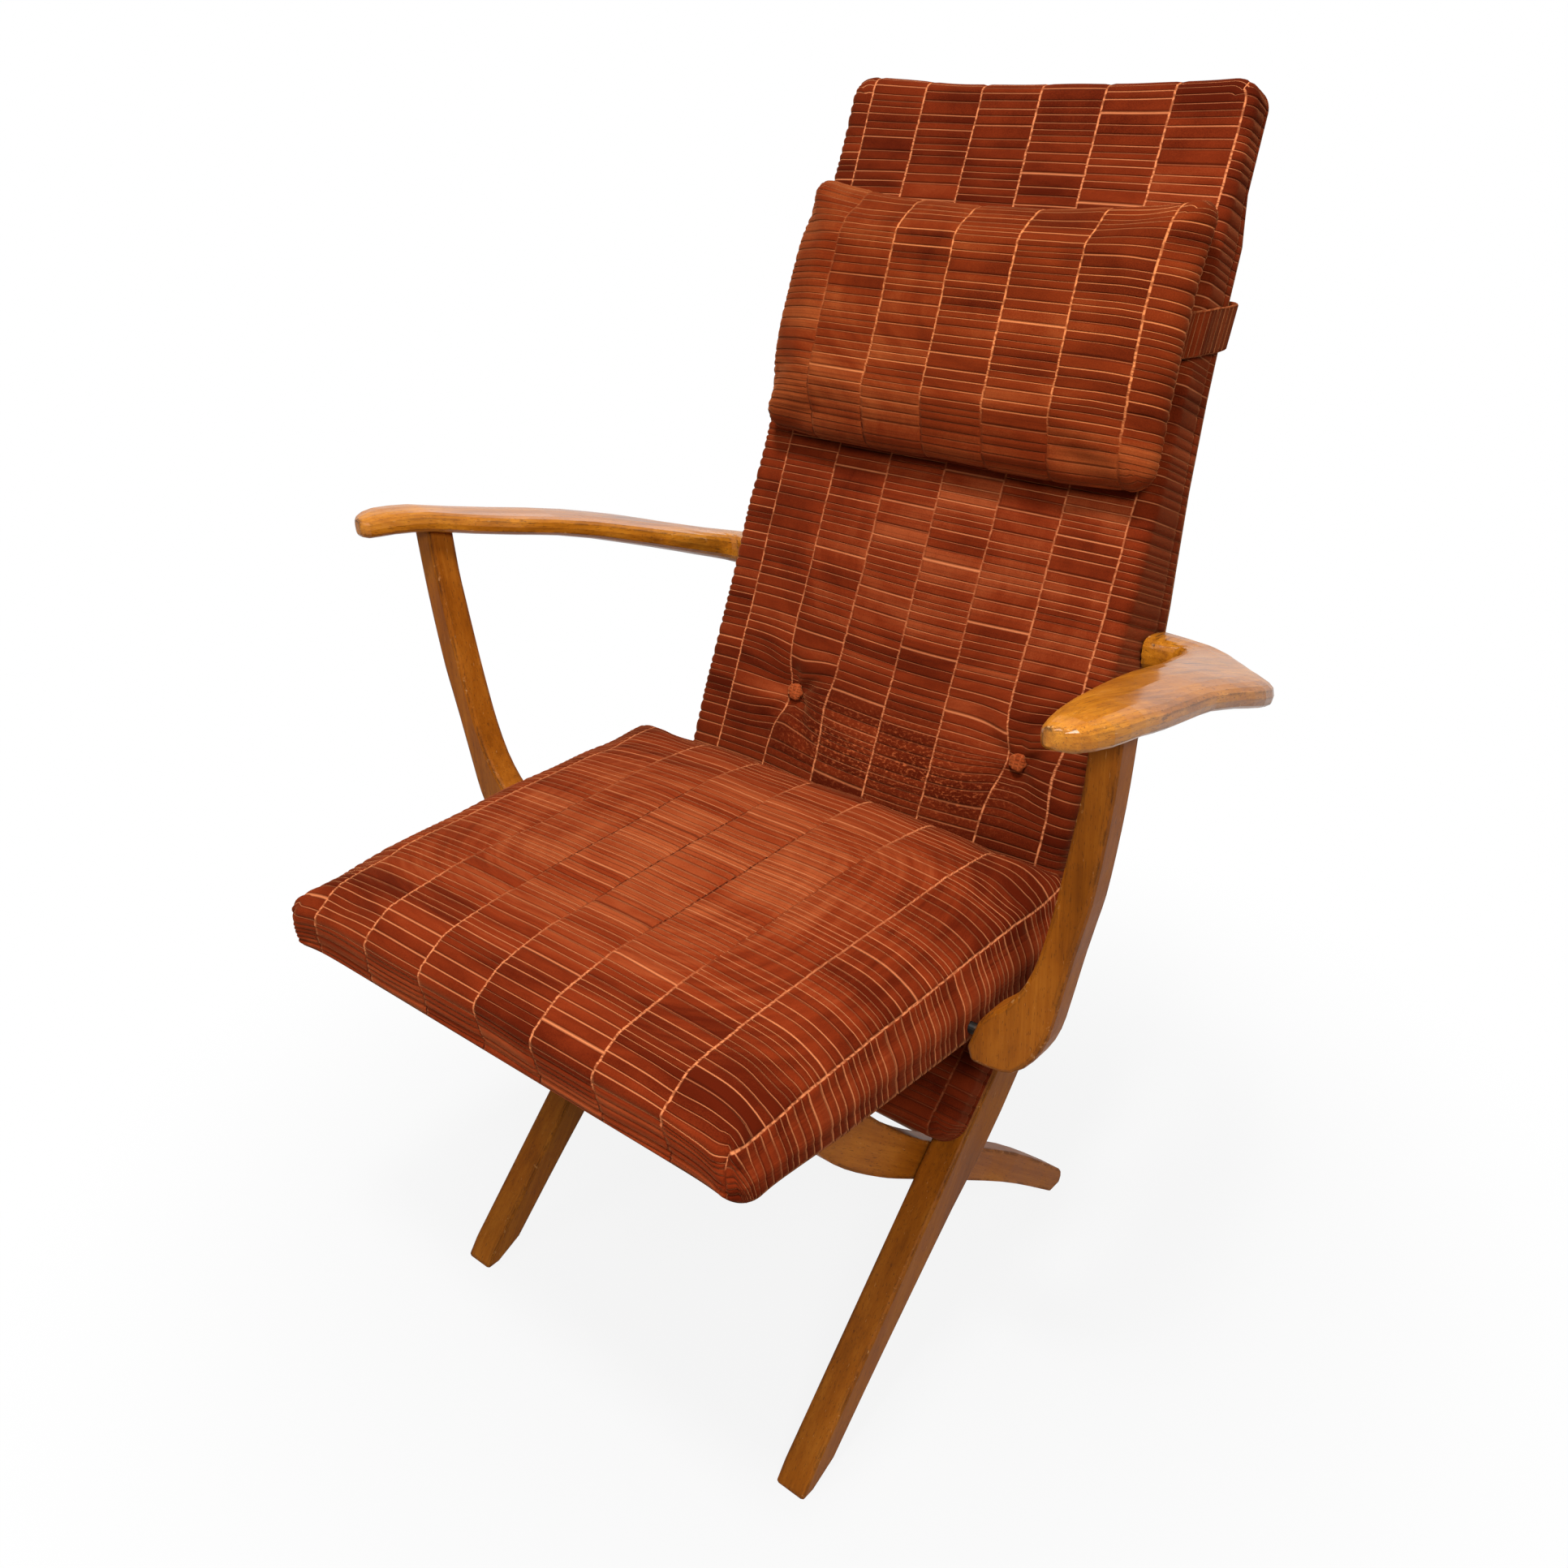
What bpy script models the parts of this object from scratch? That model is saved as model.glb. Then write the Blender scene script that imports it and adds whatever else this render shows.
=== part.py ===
"""High-back folding lounge chair with crossed beech legs, swing-up arms and ribbed cushions.

Units are metres, +Z is up and the sitter faces -Y. +X is the sitter's left.
While the pieces are made, Y = 0 and Z = 0 lie at the front feet. The last step
moves the whole chair so that its origin is at the bottom centre of its box.
"""
import bmesh
import bpy
from math import atan2, cos, exp, pi, radians, sin, sqrt, tan
from mathutils import Matrix, Vector

# Overall layout
SEAT_TOP = 0.470            # height of the seat cushion's rim above the front feet's level
BACK_ANGLE = radians(65.6)  # slope of the backrest face from the floor
LEG_ANGLE = radians(44.8)   # slope of the front legs from the floor
LEG_START_Y = -0.0135       # front edge of the front legs at foot level
FOOT_LEVEL = -0.0055        # height of the floor
HEEL_Y = 0.366              # where the backrest face meets the seat, from the front feet
BACK_LENGTH = 0.672         # backrest face, from the seat to its top edge

# Side rails: each is one curved plank, front leg and back upright together
RAIL_PROUD = 0.002          # bare rails stand this far outside the backrest cushion's half-width
RAIL_THICK = 0.031
RAIL_FOOT_DEPTH = 0.029
FOOT_SOLE = 0.018           # flat length of a foot on the floor
RAIL_CROSS_DEPTH = 0.042    # depth where the legs cross
RAIL_ELBOW_DEPTH = 0.060    # deepest part, behind the armrest pivots
RAIL_TOP_DEPTH = 0.012
RAIL_TOP_MARGIN = 0.110     # the rails stop this far below the cushion's top edge
RAIL_BEND_RADIUS = 0.120
COVER_THICK = 0.0067        # cover where it wraps the rails, which are thinner there
BACK_TAPER = 0.032          # half-width that the backrest loses per metre above TAPER_START
TAPER_START = 0.235         # above the seat, along the backrest
REBATE_MARGIN = 0.006       # the thinner part of a rail starts this far below the bend

# Crossing of the legs
CROSS_ALONG_LEG = 0.305     # from the front foot to the crossing, along the leg

# Rear legs
REAR_LEG_THICK = 0.026
REAR_FOOT_Y = 0.455
REAR_FOOT_DEPTH = 0.026
REAR_CROSS_DEPTH = 0.037
REAR_SHOULDER_DEPTH = 0.050
REAR_TOP_DEPTH = 0.030
WASHER_THICK = 0.0014
STRETCHER_RADIUS = 0.010

# Seat frame
SEAT_AXLE_Y = 0.014
SEAT_AXLE_DEPTH = 0.016     # below the top of the seat frame
SEAT_AXLE_RADIUS = 0.0045
SEAT_PAD_THICK = 0.034      # at its rim, above the seat frame
SEAT_RAIL_THICK = 0.022
SEAT_RAIL_DEPTH = 0.040     # from the frame's top to the lowest line of the curved seat rails
SEAT_HALF_WIDTH = 0.262
SEAT_FRONT_Y = -0.097
SEAT_REAR_Y = 0.353         # rear rim of the seat cushion, at its top
SEAT_SKIRT = 0.006          # thickness of the cover where it hangs round the frame
SEAT_CROWN = 0.016
SEAT_FRONT_DEPTH = 0.014    # the cushion's lower edge rises towards the front

# Arms
ARM_PIVOT_ABOVE_SEAT = 0.1884   # along the backrest, from the seat to the arm pivot
ARM_PIVOT_DEPTH = 0.0376    # behind the rail's front edge
ARM_BOLT_RADIUS = 0.004
ARM_THICK = 0.021
ARM_END_THICK = 0.034
ARM_TIP_THICK = 0.012
ARM_LENGTH = 0.416          # from the pivot to the front tip
ARM_RISE = 0.1278           # from the pivot to the armrest's highest point
ARM_REACH = 0.1365          # outermost edge of the armrest, beyond the seat cushion
ARM_BOLT_REACH = 0.022      # the arm bolt ends this far outside the rail
POST_Y = 0.179
POST_DEPTH = 0.028
POST_TENON = 0.006
POST_REACH = 0.1077         # middle of the post's head, beyond the seat cushion
MORTISE_PLAY = 0.0009       # on each side of the post in its mortise
STUD_RADIUS = 0.005
STUD_ABOVE_BELLY = 0.011
STUD_REACH = 0.024          # how far the stud stands out of the seat cushion's side
STUD_SLOT_PLAY = 0.0010

# Cushions
BACK_HALF_WIDTH = 0.226
BACK_SLAB = 0.034           # thickness of the backrest cushion in front of the rails
BACK_CROWN = 0.007
BACK_LOWER_END = 0.326      # the cushion's lower end, along the front leg from the foot
BUTTON_X = 0.132            # half the distance between the buttons
BUTTON_SHIFT = 0.026        # the pair sits off the middle, on the cover's seams
BUTTON_ABOVE_SEAT = 0.064
BUTTON_RADIUS = 0.0075
TUFT_DEPTH = 0.012
TUFT_SPREAD = 0.034
PILLOW_HALF_WIDTH = 0.209
PILLOW_SHIFT = 0.010        # the pillow lies a little to the sitter's left
PILLOW_HEIGHT = 0.246
PILLOW_THICK = 0.050
PILLOW_ABOVE_SEAT = 0.439   # middle of the head pillow, along the backrest
STRAP_WIDTH = 0.040
STRAP_THICK = 0.002
STRAP_ABOVE_MIDDLE = 0.040  # the strap sits above the pillow's middle
STRAP_PLAY = 0.0021         # between the strap and the backrest cover, so that it slides
PILLOW_TRAVEL = 0.040       # how far the pillow slides up or down

# Cross rails between the side rails: height, thickness, and where they sit
CROSS_RAIL_HEIGHT = 0.046
TOP_RAIL_HEIGHT = 0.040
LOWER_RAIL_THICK = 0.020
MIDDLE_RAIL_THICK = 0.018
TOP_RAIL_THICK = 0.011
LOWER_RAIL_ABOVE_SEAT = 0.030
MIDDLE_RAIL_ABOVE_SEAT = 0.300
TOP_RAIL_BELOW_END = 0.030
SEAT_CROSS_RAIL_THICK = 0.024

# Webbing
WEB_THICK = 0.0016
BACK_BANDS = 6
BACK_BAND_WIDTH = 0.050
SEAT_BANDS = 5
SEAT_BAND_WIDTH = 0.044

# Hardware
PIVOT_BOLT_RADIUS = 0.004
BOLT_HEAD_RADIUS = 0.008
BOLT_HEAD_THICK = 0.005
WASHER_RADIUS = 0.011
BUSH_RADIUS = 0.0092
BUSH_PROUD = 0.0005         # the bush stands this far outside the bare rail

# Clearances and edge rounding
GAP = 0.0003                # between touching faces
HOLE_PLAY = 0.0004          # round a pin in its hole
EDGE_ROUND = 0.0035

# Colours: base colour, roughness, metallic
BEECH = ("beech", (0.42, 0.20, 0.055, 1.0), 0.38, 0.0)
VELVET = ("ribbed_velvet", (0.165, 0.030, 0.008, 1.0), 0.85, 0.0)
VELVET_STRAP = ("velvet_strap", (0.150, 0.028, 0.008, 1.0), 0.85, 0.0)
STEEL = ("zinc_steel", (0.45, 0.44, 0.42, 1.0), 0.38, 1.0)
DARK_STEEL = ("dark_steel", (0.03, 0.03, 0.03, 1.0), 0.45, 1.0)
WEBBING = ("rubber_webbing", (0.10, 0.075, 0.05, 1.0), 0.8, 0.0)

for old in list(bpy.data.objects):
    bpy.data.objects.remove(old)

chair = bpy.data.collections.new("lounge_chair")
tools = bpy.data.collections.new("cutters")
bpy.context.scene.collection.children.link(chair)
bpy.context.scene.collection.children.link(tools)
materials = {}


# Shared helpers
def finish_of(spec):
    """Return the Principled material of a finish, made once."""
    name, colour, roughness, metallic = spec
    if name not in materials:
        material = bpy.data.materials.new(name)
        material.use_nodes = True
        shader = material.node_tree.nodes["Principled BSDF"]
        shader.inputs["Base Color"].default_value = colour
        shader.inputs["Roughness"].default_value = roughness
        shader.inputs["Metallic"].default_value = metallic
        materials[name] = material
    return materials[name]


def add_object(name, mesh, finish, location=(0, 0, 0), smooth=True):
    """Put a mesh in the chair, or among the cutters when it has no finish."""
    piece = bpy.data.objects.new(name, mesh)
    piece.location = location
    if finish is None:
        tools.objects.link(piece)
        piece.hide_render = True
        piece.display_type = "WIRE"
    else:
        chair.objects.link(piece)
        mesh.materials.append(finish_of(finish))
        if smooth:
            mesh.shade_smooth()
            mesh.set_sharp_from_angle(angle=radians(35))
    return piece


def mesh_of(shape, name):
    """Turn a bmesh into a mesh with its faces pointing out."""
    bmesh.ops.recalc_face_normals(shape, faces=shape.faces[:])
    if shape.calc_volume(signed=True) < 0:
        bmesh.ops.reverse_faces(shape, faces=shape.faces[:])
    mesh = bpy.data.meshes.new(name)
    shape.to_mesh(mesh)
    shape.free()
    return mesh


def round_edges(piece, width=EDGE_ROUND, segments=2):
    """Soften the sharp edges of a wooden piece."""
    bevel = piece.modifiers.new("rounded_edges", "BEVEL")
    bevel.width = width
    bevel.segments = segments
    bevel.limit_method = "ANGLE"
    bevel.angle_limit = radians(38)
    bevel.use_clamp_overlap = True


def cut(piece, *cutters):
    """Take the cutters out of a piece."""
    for cutter in cutters:
        boolean = piece.modifiers.new("cut_" + cutter.name, "BOOLEAN")
        boolean.operation = "DIFFERENCE"
        boolean.solver = "EXACT"
        boolean.object = cutter


def box(name, centre, size, finish, turn=0.0):
    """A block, turned about X when it follows the backrest."""
    shape = bmesh.new()
    bmesh.ops.create_cube(shape, size=1.0)
    bmesh.ops.scale(shape, vec=size, verts=shape.verts[:])
    piece = add_object(name, mesh_of(shape, name), finish, centre)
    piece.rotation_euler = (turn, 0, 0)
    return piece


def add_rod(shape, start, end, radius, sides):
    """Add a closed cylinder between two points to a bmesh."""
    start, end = Vector(start), Vector(end)
    direction = end - start
    turn = direction.to_track_quat("Z", "Y").to_matrix().to_4x4()
    place = Matrix.Translation((start + end) / 2) @ turn
    bmesh.ops.create_cone(shape, cap_ends=True, segments=sides, radius1=radius, radius2=radius,
                          depth=direction.length, matrix=place)


def rods(name, runs, finish, sides=16):
    """Cylinders given as start, end and radius, in one object."""
    shape = bmesh.new()
    for start, end, radius in runs:
        add_rod(shape, start, end, radius, sides)
    return add_object(name, mesh_of(shape, name), finish)


def loft(name, rings, finish):
    """A closed skin through rings of equally many points, with flat ends."""
    shape = bmesh.new()
    rows = [[shape.verts.new(point) for point in ring] for ring in rings]
    count = len(rows[0])
    for near, far in zip(rows, rows[1:]):
        for i in range(count):
            j = (i + 1) % count
            shape.faces.new((near[i], near[j], far[j], far[i]))
    shape.faces.new(rows[0][::-1])
    shape.faces.new(rows[-1])
    return add_object(name, mesh_of(shape, name), finish)


def plank(name, outline, thick, middle, finish, facing="side", rounding=EDGE_ROUND):
    """A flat outline cut from a board. A side plank lies in YZ, a front plank in XZ."""
    curve = bpy.data.curves.new(name, "CURVE")
    curve.dimensions = "2D"
    curve.fill_mode = "BOTH"
    curve.extrude = thick / 2
    spline = curve.splines.new("POLY")
    spline.points.add(len(outline) - 1)
    for point, (u, v) in zip(spline.points, outline):
        point.co = (u, v, 0, 1)
    spline.use_cyclic_u = True
    guide = bpy.data.objects.new(name + "_guide", curve)
    tools.objects.link(guide)
    solid = bpy.data.meshes.new_from_object(guide.evaluated_get(bpy.context.evaluated_depsgraph_get()))
    bpy.data.objects.remove(guide)
    shape = bmesh.new()
    shape.from_mesh(solid)
    bmesh.ops.remove_doubles(shape, verts=shape.verts[:], dist=1e-6)
    bmesh.ops.dissolve_limit(shape, angle_limit=radians(0.5), verts=shape.verts[:], edges=shape.edges[:])
    if facing == "side":
        turn = Matrix(((0, 0, 1), (1, 0, 0), (0, 1, 0))).to_4x4()
        place = (middle, 0, 0)
    else:
        turn = Matrix(((1, 0, 0), (0, 0, -1), (0, 1, 0))).to_4x4()
        place = (0, middle, 0)
    bmesh.ops.transform(shape, matrix=turn, verts=shape.verts[:])
    piece = add_object(name, mesh_of(shape, name), finish, place)
    if rounding:
        round_edges(piece, rounding)
    return piece


def smooth_line(points, steps=4):
    """Points of a smooth curve through the given points (any number of values each)."""
    ends = [points[0]] + list(points) + [points[-1]]
    line = []
    for a, b, c, d in zip(ends, ends[1:], ends[2:], ends[3:]):
        for k in range(steps):
            t = k / steps
            line.append(tuple(0.5 * (2 * q + (r - p) * t + (2 * p - 5 * q + 4 * r - s) * t * t
                                     + (3 * q - p - 3 * r + s) * t ** 3)
                              for p, q, r, s in zip(a, b, c, d)))
    line.append(tuple(points[-1]))
    return line


def filleted(corners, steps=4):
    """An outline from corners (u, v, radius), with an arc at each corner that has a radius."""
    outline = []
    count = len(corners)
    for i, (u, v, radius) in enumerate(corners):
        here = Vector((u, v))
        if radius == 0:
            outline.append((u, v))
            continue
        to_last = (Vector(corners[i - 1][:2]) - here).normalized()
        to_next = (Vector(corners[(i + 1) % count][:2]) - here).normalized()
        half = to_last.angle(to_next) / 2
        centre = here + (to_last + to_next).normalized() * radius / sin(half)
        first = here + to_last * radius / tan(half) - centre
        last = here + to_next * radius / tan(half) - centre
        sweep = first.angle_signed(last)
        for k in range(steps + 1):
            a = -sweep * k / steps
            outline.append((centre.x + first.x * cos(a) - first.y * sin(a),
                            centre.y + first.x * sin(a) + first.y * cos(a)))
    return outline


def tapered(stations, steps=4, arc=6):
    """An outline along stations (u, v, depth), round at both ends."""
    line = smooth_line(stations, steps)
    left, right, headings = [], [], []
    for i, (u, v, depth) in enumerate(line):
        before, after = line[max(i - 1, 0)], line[min(i + 1, len(line) - 1)]
        heading = atan2(after[1] - before[1], after[0] - before[0])
        headings.append(heading)
        left.append((u - sin(heading) * depth / 2, v + cos(heading) * depth / 2))
        right.append((u + sin(heading) * depth / 2, v - cos(heading) * depth / 2))

    def end_arc(station, heading):
        u, v, depth = station
        return [(u + depth / 2 * cos(heading + pi / 2 - pi * k / arc),
                 v + depth / 2 * sin(heading + pi / 2 - pi * k / arc)) for k in range(1, arc)]

    return left + end_arc(line[-1], headings[-1]) + right[::-1] + end_arc(line[0], headings[0] + pi)


def above_floor(outline):
    """Cut an outline off level with the floor, which leaves a flat sole."""
    kept = []
    for (u, v), (u2, v2) in zip(outline, outline[1:] + outline[:1]):
        if v >= FOOT_LEVEL:
            kept.append((u, v))
        if (v >= FOOT_LEVEL) != (v2 >= FOOT_LEVEL):
            share = (v - FOOT_LEVEL) / (v - v2)
            kept.append((u + (u2 - u) * share, FOOT_LEVEL))
    return kept


def between(value, table):
    """Read a table of (place, value) rows with straight lines between them."""
    if value <= table[0][0]:
        return table[0][1]
    for (a, x), (b, y) in zip(table, table[1:]):
        if value <= b:
            return x + (y - x) * (value - a) / (b - a)
    return table[-1][1]


# Layout that follows from the driving sizes
along_back = Vector((cos(BACK_ANGLE), sin(BACK_ANGLE)))
along_leg = Vector((cos(LEG_ANGLE), sin(LEG_ANGLE)))
behind_back = Vector((sin(BACK_ANGLE), -cos(BACK_ANGLE)))
behind_leg = Vector((sin(LEG_ANGLE), -cos(LEG_ANGLE)))
heel = Vector((HEEL_Y, SEAT_TOP))
CUSHION_STANDOFF = WEB_THICK + 2 * GAP      # the webbing lies between rails and cushion
leg_start = Vector((LEG_START_Y, 0.0))
rail_line = heel + behind_back * (BACK_SLAB + CUSHION_STANDOFF) - leg_start
bend_distance = (rail_line.x * along_back.y - rail_line.y * along_back.x) / (
    along_leg.x * along_back.y - along_leg.y * along_back.x)
bend = leg_start + along_leg * bend_distance
heel_from_bend = (rail_line + leg_start - bend).dot(along_back)
cushion_top = heel_from_bend + BACK_LENGTH
rail_top = cushion_top - RAIL_TOP_MARGIN
bend_tangent = RAIL_BEND_RADIUS * tan((BACK_ANGLE - LEG_ANGLE) / 2)
cross = leg_start + along_leg * CROSS_ALONG_LEG + behind_leg * RAIL_CROSS_DEPTH / 2
arm_pivot = bend + along_back * (heel_from_bend + ARM_PIVOT_ABOVE_SEAT) + behind_back * ARM_PIVOT_DEPTH

SEAT_FRAME_TOP = SEAT_TOP - SEAT_PAD_THICK
SEAT_AXLE_Z = SEAT_FRAME_TOP - SEAT_AXLE_DEPTH
SEAT_RAIL_BELLY = SEAT_FRAME_TOP - SEAT_RAIL_DEPTH
STUD_Z = SEAT_RAIL_BELLY + STUD_ABOVE_BELLY
seat_axle = Vector((SEAT_AXLE_Y, SEAT_AXLE_Z))

RAIL_OUTER = BACK_HALF_WIDTH + RAIL_PROUD
RAIL_INNER = RAIL_OUTER - RAIL_THICK
REAR_LEG_OUTER = RAIL_INNER - WASHER_THICK - 2 * GAP
REAR_LEG_INNER = REAR_LEG_OUTER - REAR_LEG_THICK
COVERED_RAIL_OUTER = BACK_HALF_WIDTH - COVER_THICK - GAP
SEAT_RAIL_OUTER = SEAT_HALF_WIDTH - SEAT_SKIRT - GAP
SEAT_RAIL_INNER = SEAT_RAIL_OUTER - SEAT_RAIL_THICK

# Depth of the rails behind their front edge, along the backrest from the bend
BACK_RAIL_DEPTHS = [(heel_from_bend + above_seat, depth) for above_seat, depth in (
    (-0.037, RAIL_ELBOW_DEPTH - 0.004), (0.073, RAIL_ELBOW_DEPTH + 0.001),
    (0.19, RAIL_ELBOW_DEPTH - 0.001), (0.263, 0.043), (0.333, 0.029), (0.413, 0.019),
    (0.473, 0.0145))] + [(rail_top, RAIL_TOP_DEPTH)]


def half_width(distance):
    """Half-width of the backrest cushion, by distance from the bend."""
    return BACK_HALF_WIDTH - BACK_TAPER * max(0.0, distance - heel_from_bend - TAPER_START)


def rail_front(distance):
    """Point and forward normal on the rail's front edge. Distance runs up from the bend."""
    if distance >= bend_tangent:
        return bend + along_back * distance, -behind_back
    if distance <= -bend_tangent:
        return bend + along_leg * distance, -behind_leg
    share = (distance + bend_tangent) / (2 * bend_tangent)
    turn = LEG_ANGLE + (BACK_ANGLE - LEG_ANGLE) * share
    forward = Vector((-sin(turn), cos(turn)))
    centre = bend - along_leg * bend_tangent - behind_leg * RAIL_BEND_RADIUS
    return centre - forward * RAIL_BEND_RADIUS, forward


def side_pair(make):
    """Make a piece for both sides: make(side name, sign of x)."""
    return make("left", 1), make("right", -1)


# Side rails
def side_rail(side, sign):
    """One curved plank from the front foot to the head of the backrest."""
    leg_rows = [(0.038, RAIL_FOOT_DEPTH - 0.0015), (0.14, RAIL_FOOT_DEPTH + 0.002),
                (CROSS_ALONG_LEG - 0.03, RAIL_CROSS_DEPTH - 0.003),
                (CROSS_ALONG_LEG + 0.07, RAIL_CROSS_DEPTH + 0.006)]
    rear = [leg_start + along_leg * s + behind_leg * depth for s, depth in leg_rows]
    rear += [bend + along_back * s + behind_back * depth for s, depth in BACK_RAIL_DEPTHS]
    rear_edge = [(p[0], p[1], 0) for p in smooth_line([tuple(p) for p in rear], 3)]
    steps = 5
    front_bend = [rail_front(-bend_tangent + 2 * bend_tangent * k / steps)[0] for k in range(steps + 1)]
    toe = FOOT_LEVEL / sin(LEG_ANGLE)
    rounding_starts = leg_start + along_leg * (toe + 0.028)
    sole_front = leg_start + along_leg * toe + Vector((0.0045, 0))
    corners = [(sole_front.x, FOOT_LEVEL, 0.003), (rounding_starts.x, rounding_starts.y, 0.030)]
    corners += [(p.x, p.y, 0) for p in front_bend]
    top_front = bend + along_back * rail_top
    corners += [(top_front.x, top_front.y, 0.003)]
    corners += rear_edge[::-1]
    corners += [(sole_front.x + FOOT_SOLE, FOOT_LEVEL, 0.003)]
    rail = plank("side_rail_" + side, filleted(corners), RAIL_THICK,
                 sign * (RAIL_OUTER - RAIL_THICK / 2), BEECH)
    cut(rail, cover_rebate(side, sign), pivot_hole(side, sign), arm_bolt_hole(side, sign))
    return rail


def cover_rebate(side, sign):
    """Thins the outer face of the rail above the bend, where the cover wraps it."""
    rings = []
    for distance in (-REBATE_MARGIN, heel_from_bend + TAPER_START, rail_top + 0.05):
        face = half_width(distance) - COVER_THICK - GAP
        front = bend + along_back * distance
        rings.append([(sign * x, front.x + behind_back.x * depth, front.y + behind_back.y * depth)
                      for x, depth in ((face, -0.2), (RAIL_OUTER + 0.01, -0.2), (RAIL_OUTER + 0.01, 0.2),
                                       (face, 0.2))])
    return loft("rebate_cutter_" + side, rings, None)


def pivot_hole(side, sign):
    """Blind hole for the crossing bolt, open on the rail's inner face."""
    return rods("pivot_hole_" + side, [((sign * (RAIL_INNER - 0.01), cross.x, cross.y),
                                        (sign * (RAIL_OUTER - 0.009), cross.x, cross.y),
                                        PIVOT_BOLT_RADIUS + HOLE_PLAY)], None)


def arm_bolt_hole(side, sign):
    """Hole for the arm bolt, right through the rail."""
    return rods("arm_bolt_hole_" + side, [((sign * (RAIL_INNER - 0.01), arm_pivot.x, arm_pivot.y),
                                           (sign * (RAIL_OUTER + 0.01), arm_pivot.x, arm_pivot.y),
                                           ARM_BOLT_RADIUS + HOLE_PLAY)], None)


# Rear legs
def rear_leg(side, sign):
    """Curved leg that crosses inside the side rail and carries the seat's front."""
    stations = [(REAR_FOOT_Y, FOOT_LEVEL + REAR_FOOT_DEPTH * 0.36, REAR_FOOT_DEPTH),
                (cross.x + 0.142, cross.y - 0.110, REAR_CROSS_DEPTH - 0.005),
                (cross.x, cross.y, REAR_CROSS_DEPTH),
                (cross.x - 0.060, cross.y + 0.050, REAR_CROSS_DEPTH + 0.006),
                (cross.x - 0.116, cross.y + 0.108, REAR_SHOULDER_DEPTH),
                (SEAT_AXLE_Y + 0.038, SEAT_AXLE_Z - 0.048, REAR_SHOULDER_DEPTH - 0.006),
                (SEAT_AXLE_Y, SEAT_AXLE_Z, REAR_TOP_DEPTH)]
    outline = above_floor(tapered(stations, 4))
    leg = plank("rear_leg_" + side, outline, REAR_LEG_THICK,
                sign * (REAR_LEG_INNER + REAR_LEG_THICK / 2), BEECH)
    cutter = rods("rear_leg_holes_" + side, [
        ((sign * (REAR_LEG_INNER - 0.01), p.x, p.y),
         (sign * (REAR_LEG_OUTER + 0.01), p.x, p.y), r + HOLE_PLAY)
        for p, r in ((cross, PIVOT_BOLT_RADIUS), (seat_axle, SEAT_AXLE_RADIUS))], None)
    cut(leg, cutter)
    return leg


def stretchers():
    """Round rungs between the rear legs, one behind the seat's front, one near the feet."""
    reach = REAR_LEG_INNER - GAP
    places = {"rear_leg_upper_stretcher": (cross.x - 0.112, cross.y + 0.104),
              "rear_leg_lower_stretcher": (cross.x + 0.118, cross.y - 0.087)}
    return [rods(name, [((-reach, y, z), (reach, y, z), STRETCHER_RADIUS)], BEECH, 20)
            for name, (y, z) in places.items()]


# Cross rails of the backrest, between the side rails and behind the webbing
def back_cross_rail(name, above_bend, height, thick):
    front, _ = rail_front(above_bend)
    middle = front + behind_back * (thick / 2 + GAP)
    rail = box(name, (0, middle.x, middle.y), (2 * (RAIL_INNER - GAP), thick, height),
               BEECH, BACK_ANGLE - pi / 2)
    round_edges(rail, 0.0025)
    return rail


# Seat frame
def seat_bottom(y):
    """Lower edge of the seat cushion: high in front, lowest under the sitter."""
    belly = SEAT_RAIL_BELLY
    front = SEAT_FRAME_TOP - SEAT_FRONT_DEPTH
    return between(y, ((SEAT_FRONT_Y, front), (SEAT_AXLE_Y, belly + 0.012),
                       (POST_Y, belly), (POST_Y + 0.06, belly), (SEAT_REAR_Y - 0.03, belly + 0.006)))


def seat_side_rail(side, sign):
    """Seat rail with a straight top and a curved belly."""
    front = SEAT_FRONT_Y + SEAT_SKIRT + GAP
    rear = seat_rear_face(seat_bottom(SEAT_REAR_Y)) - SEAT_SKIRT - GAP
    steps = 14
    ys = [front + (rear - front) * k / steps for k in range(steps + 1)]
    outline = [(front, SEAT_FRAME_TOP)]
    outline += [(y, seat_bottom(y) + 0.002) for y in ys] + [(rear, SEAT_FRAME_TOP)]
    rail = plank("seat_side_rail_" + side, outline, SEAT_RAIL_THICK,
                 sign * (SEAT_RAIL_OUTER - SEAT_RAIL_THICK / 2), BEECH, rounding=0.002)
    cutter = rods("seat_rail_holes_" + side, [
        ((sign * (SEAT_RAIL_INNER - 0.01), SEAT_AXLE_Y, SEAT_AXLE_Z),
         (sign * (SEAT_RAIL_OUTER - 0.004), SEAT_AXLE_Y, SEAT_AXLE_Z), SEAT_AXLE_RADIUS + HOLE_PLAY),
        ((sign * (SEAT_RAIL_INNER + 0.004), POST_Y, STUD_Z),
         (sign * (SEAT_RAIL_OUTER + 0.01), POST_Y, STUD_Z), STUD_RADIUS + HOLE_PLAY)], None)
    cut(rail, cutter)
    return rail


def seat_rear_face(z):
    """Y of the seat cushion's rear face, parallel to the backrest."""
    return SEAT_REAR_Y - (SEAT_TOP - z) / tan(BACK_ANGLE)


def seat_cross_rail(name, y_low, y_high, z_low, z_high):
    reach = SEAT_RAIL_INNER - GAP
    rail = box(name, (0, (y_low + y_high) / 2, (z_low + z_high) / 2),
               (2 * reach, y_high - y_low, z_high - z_low), BEECH)
    round_edges(rail, 0.002)
    return rail


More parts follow.
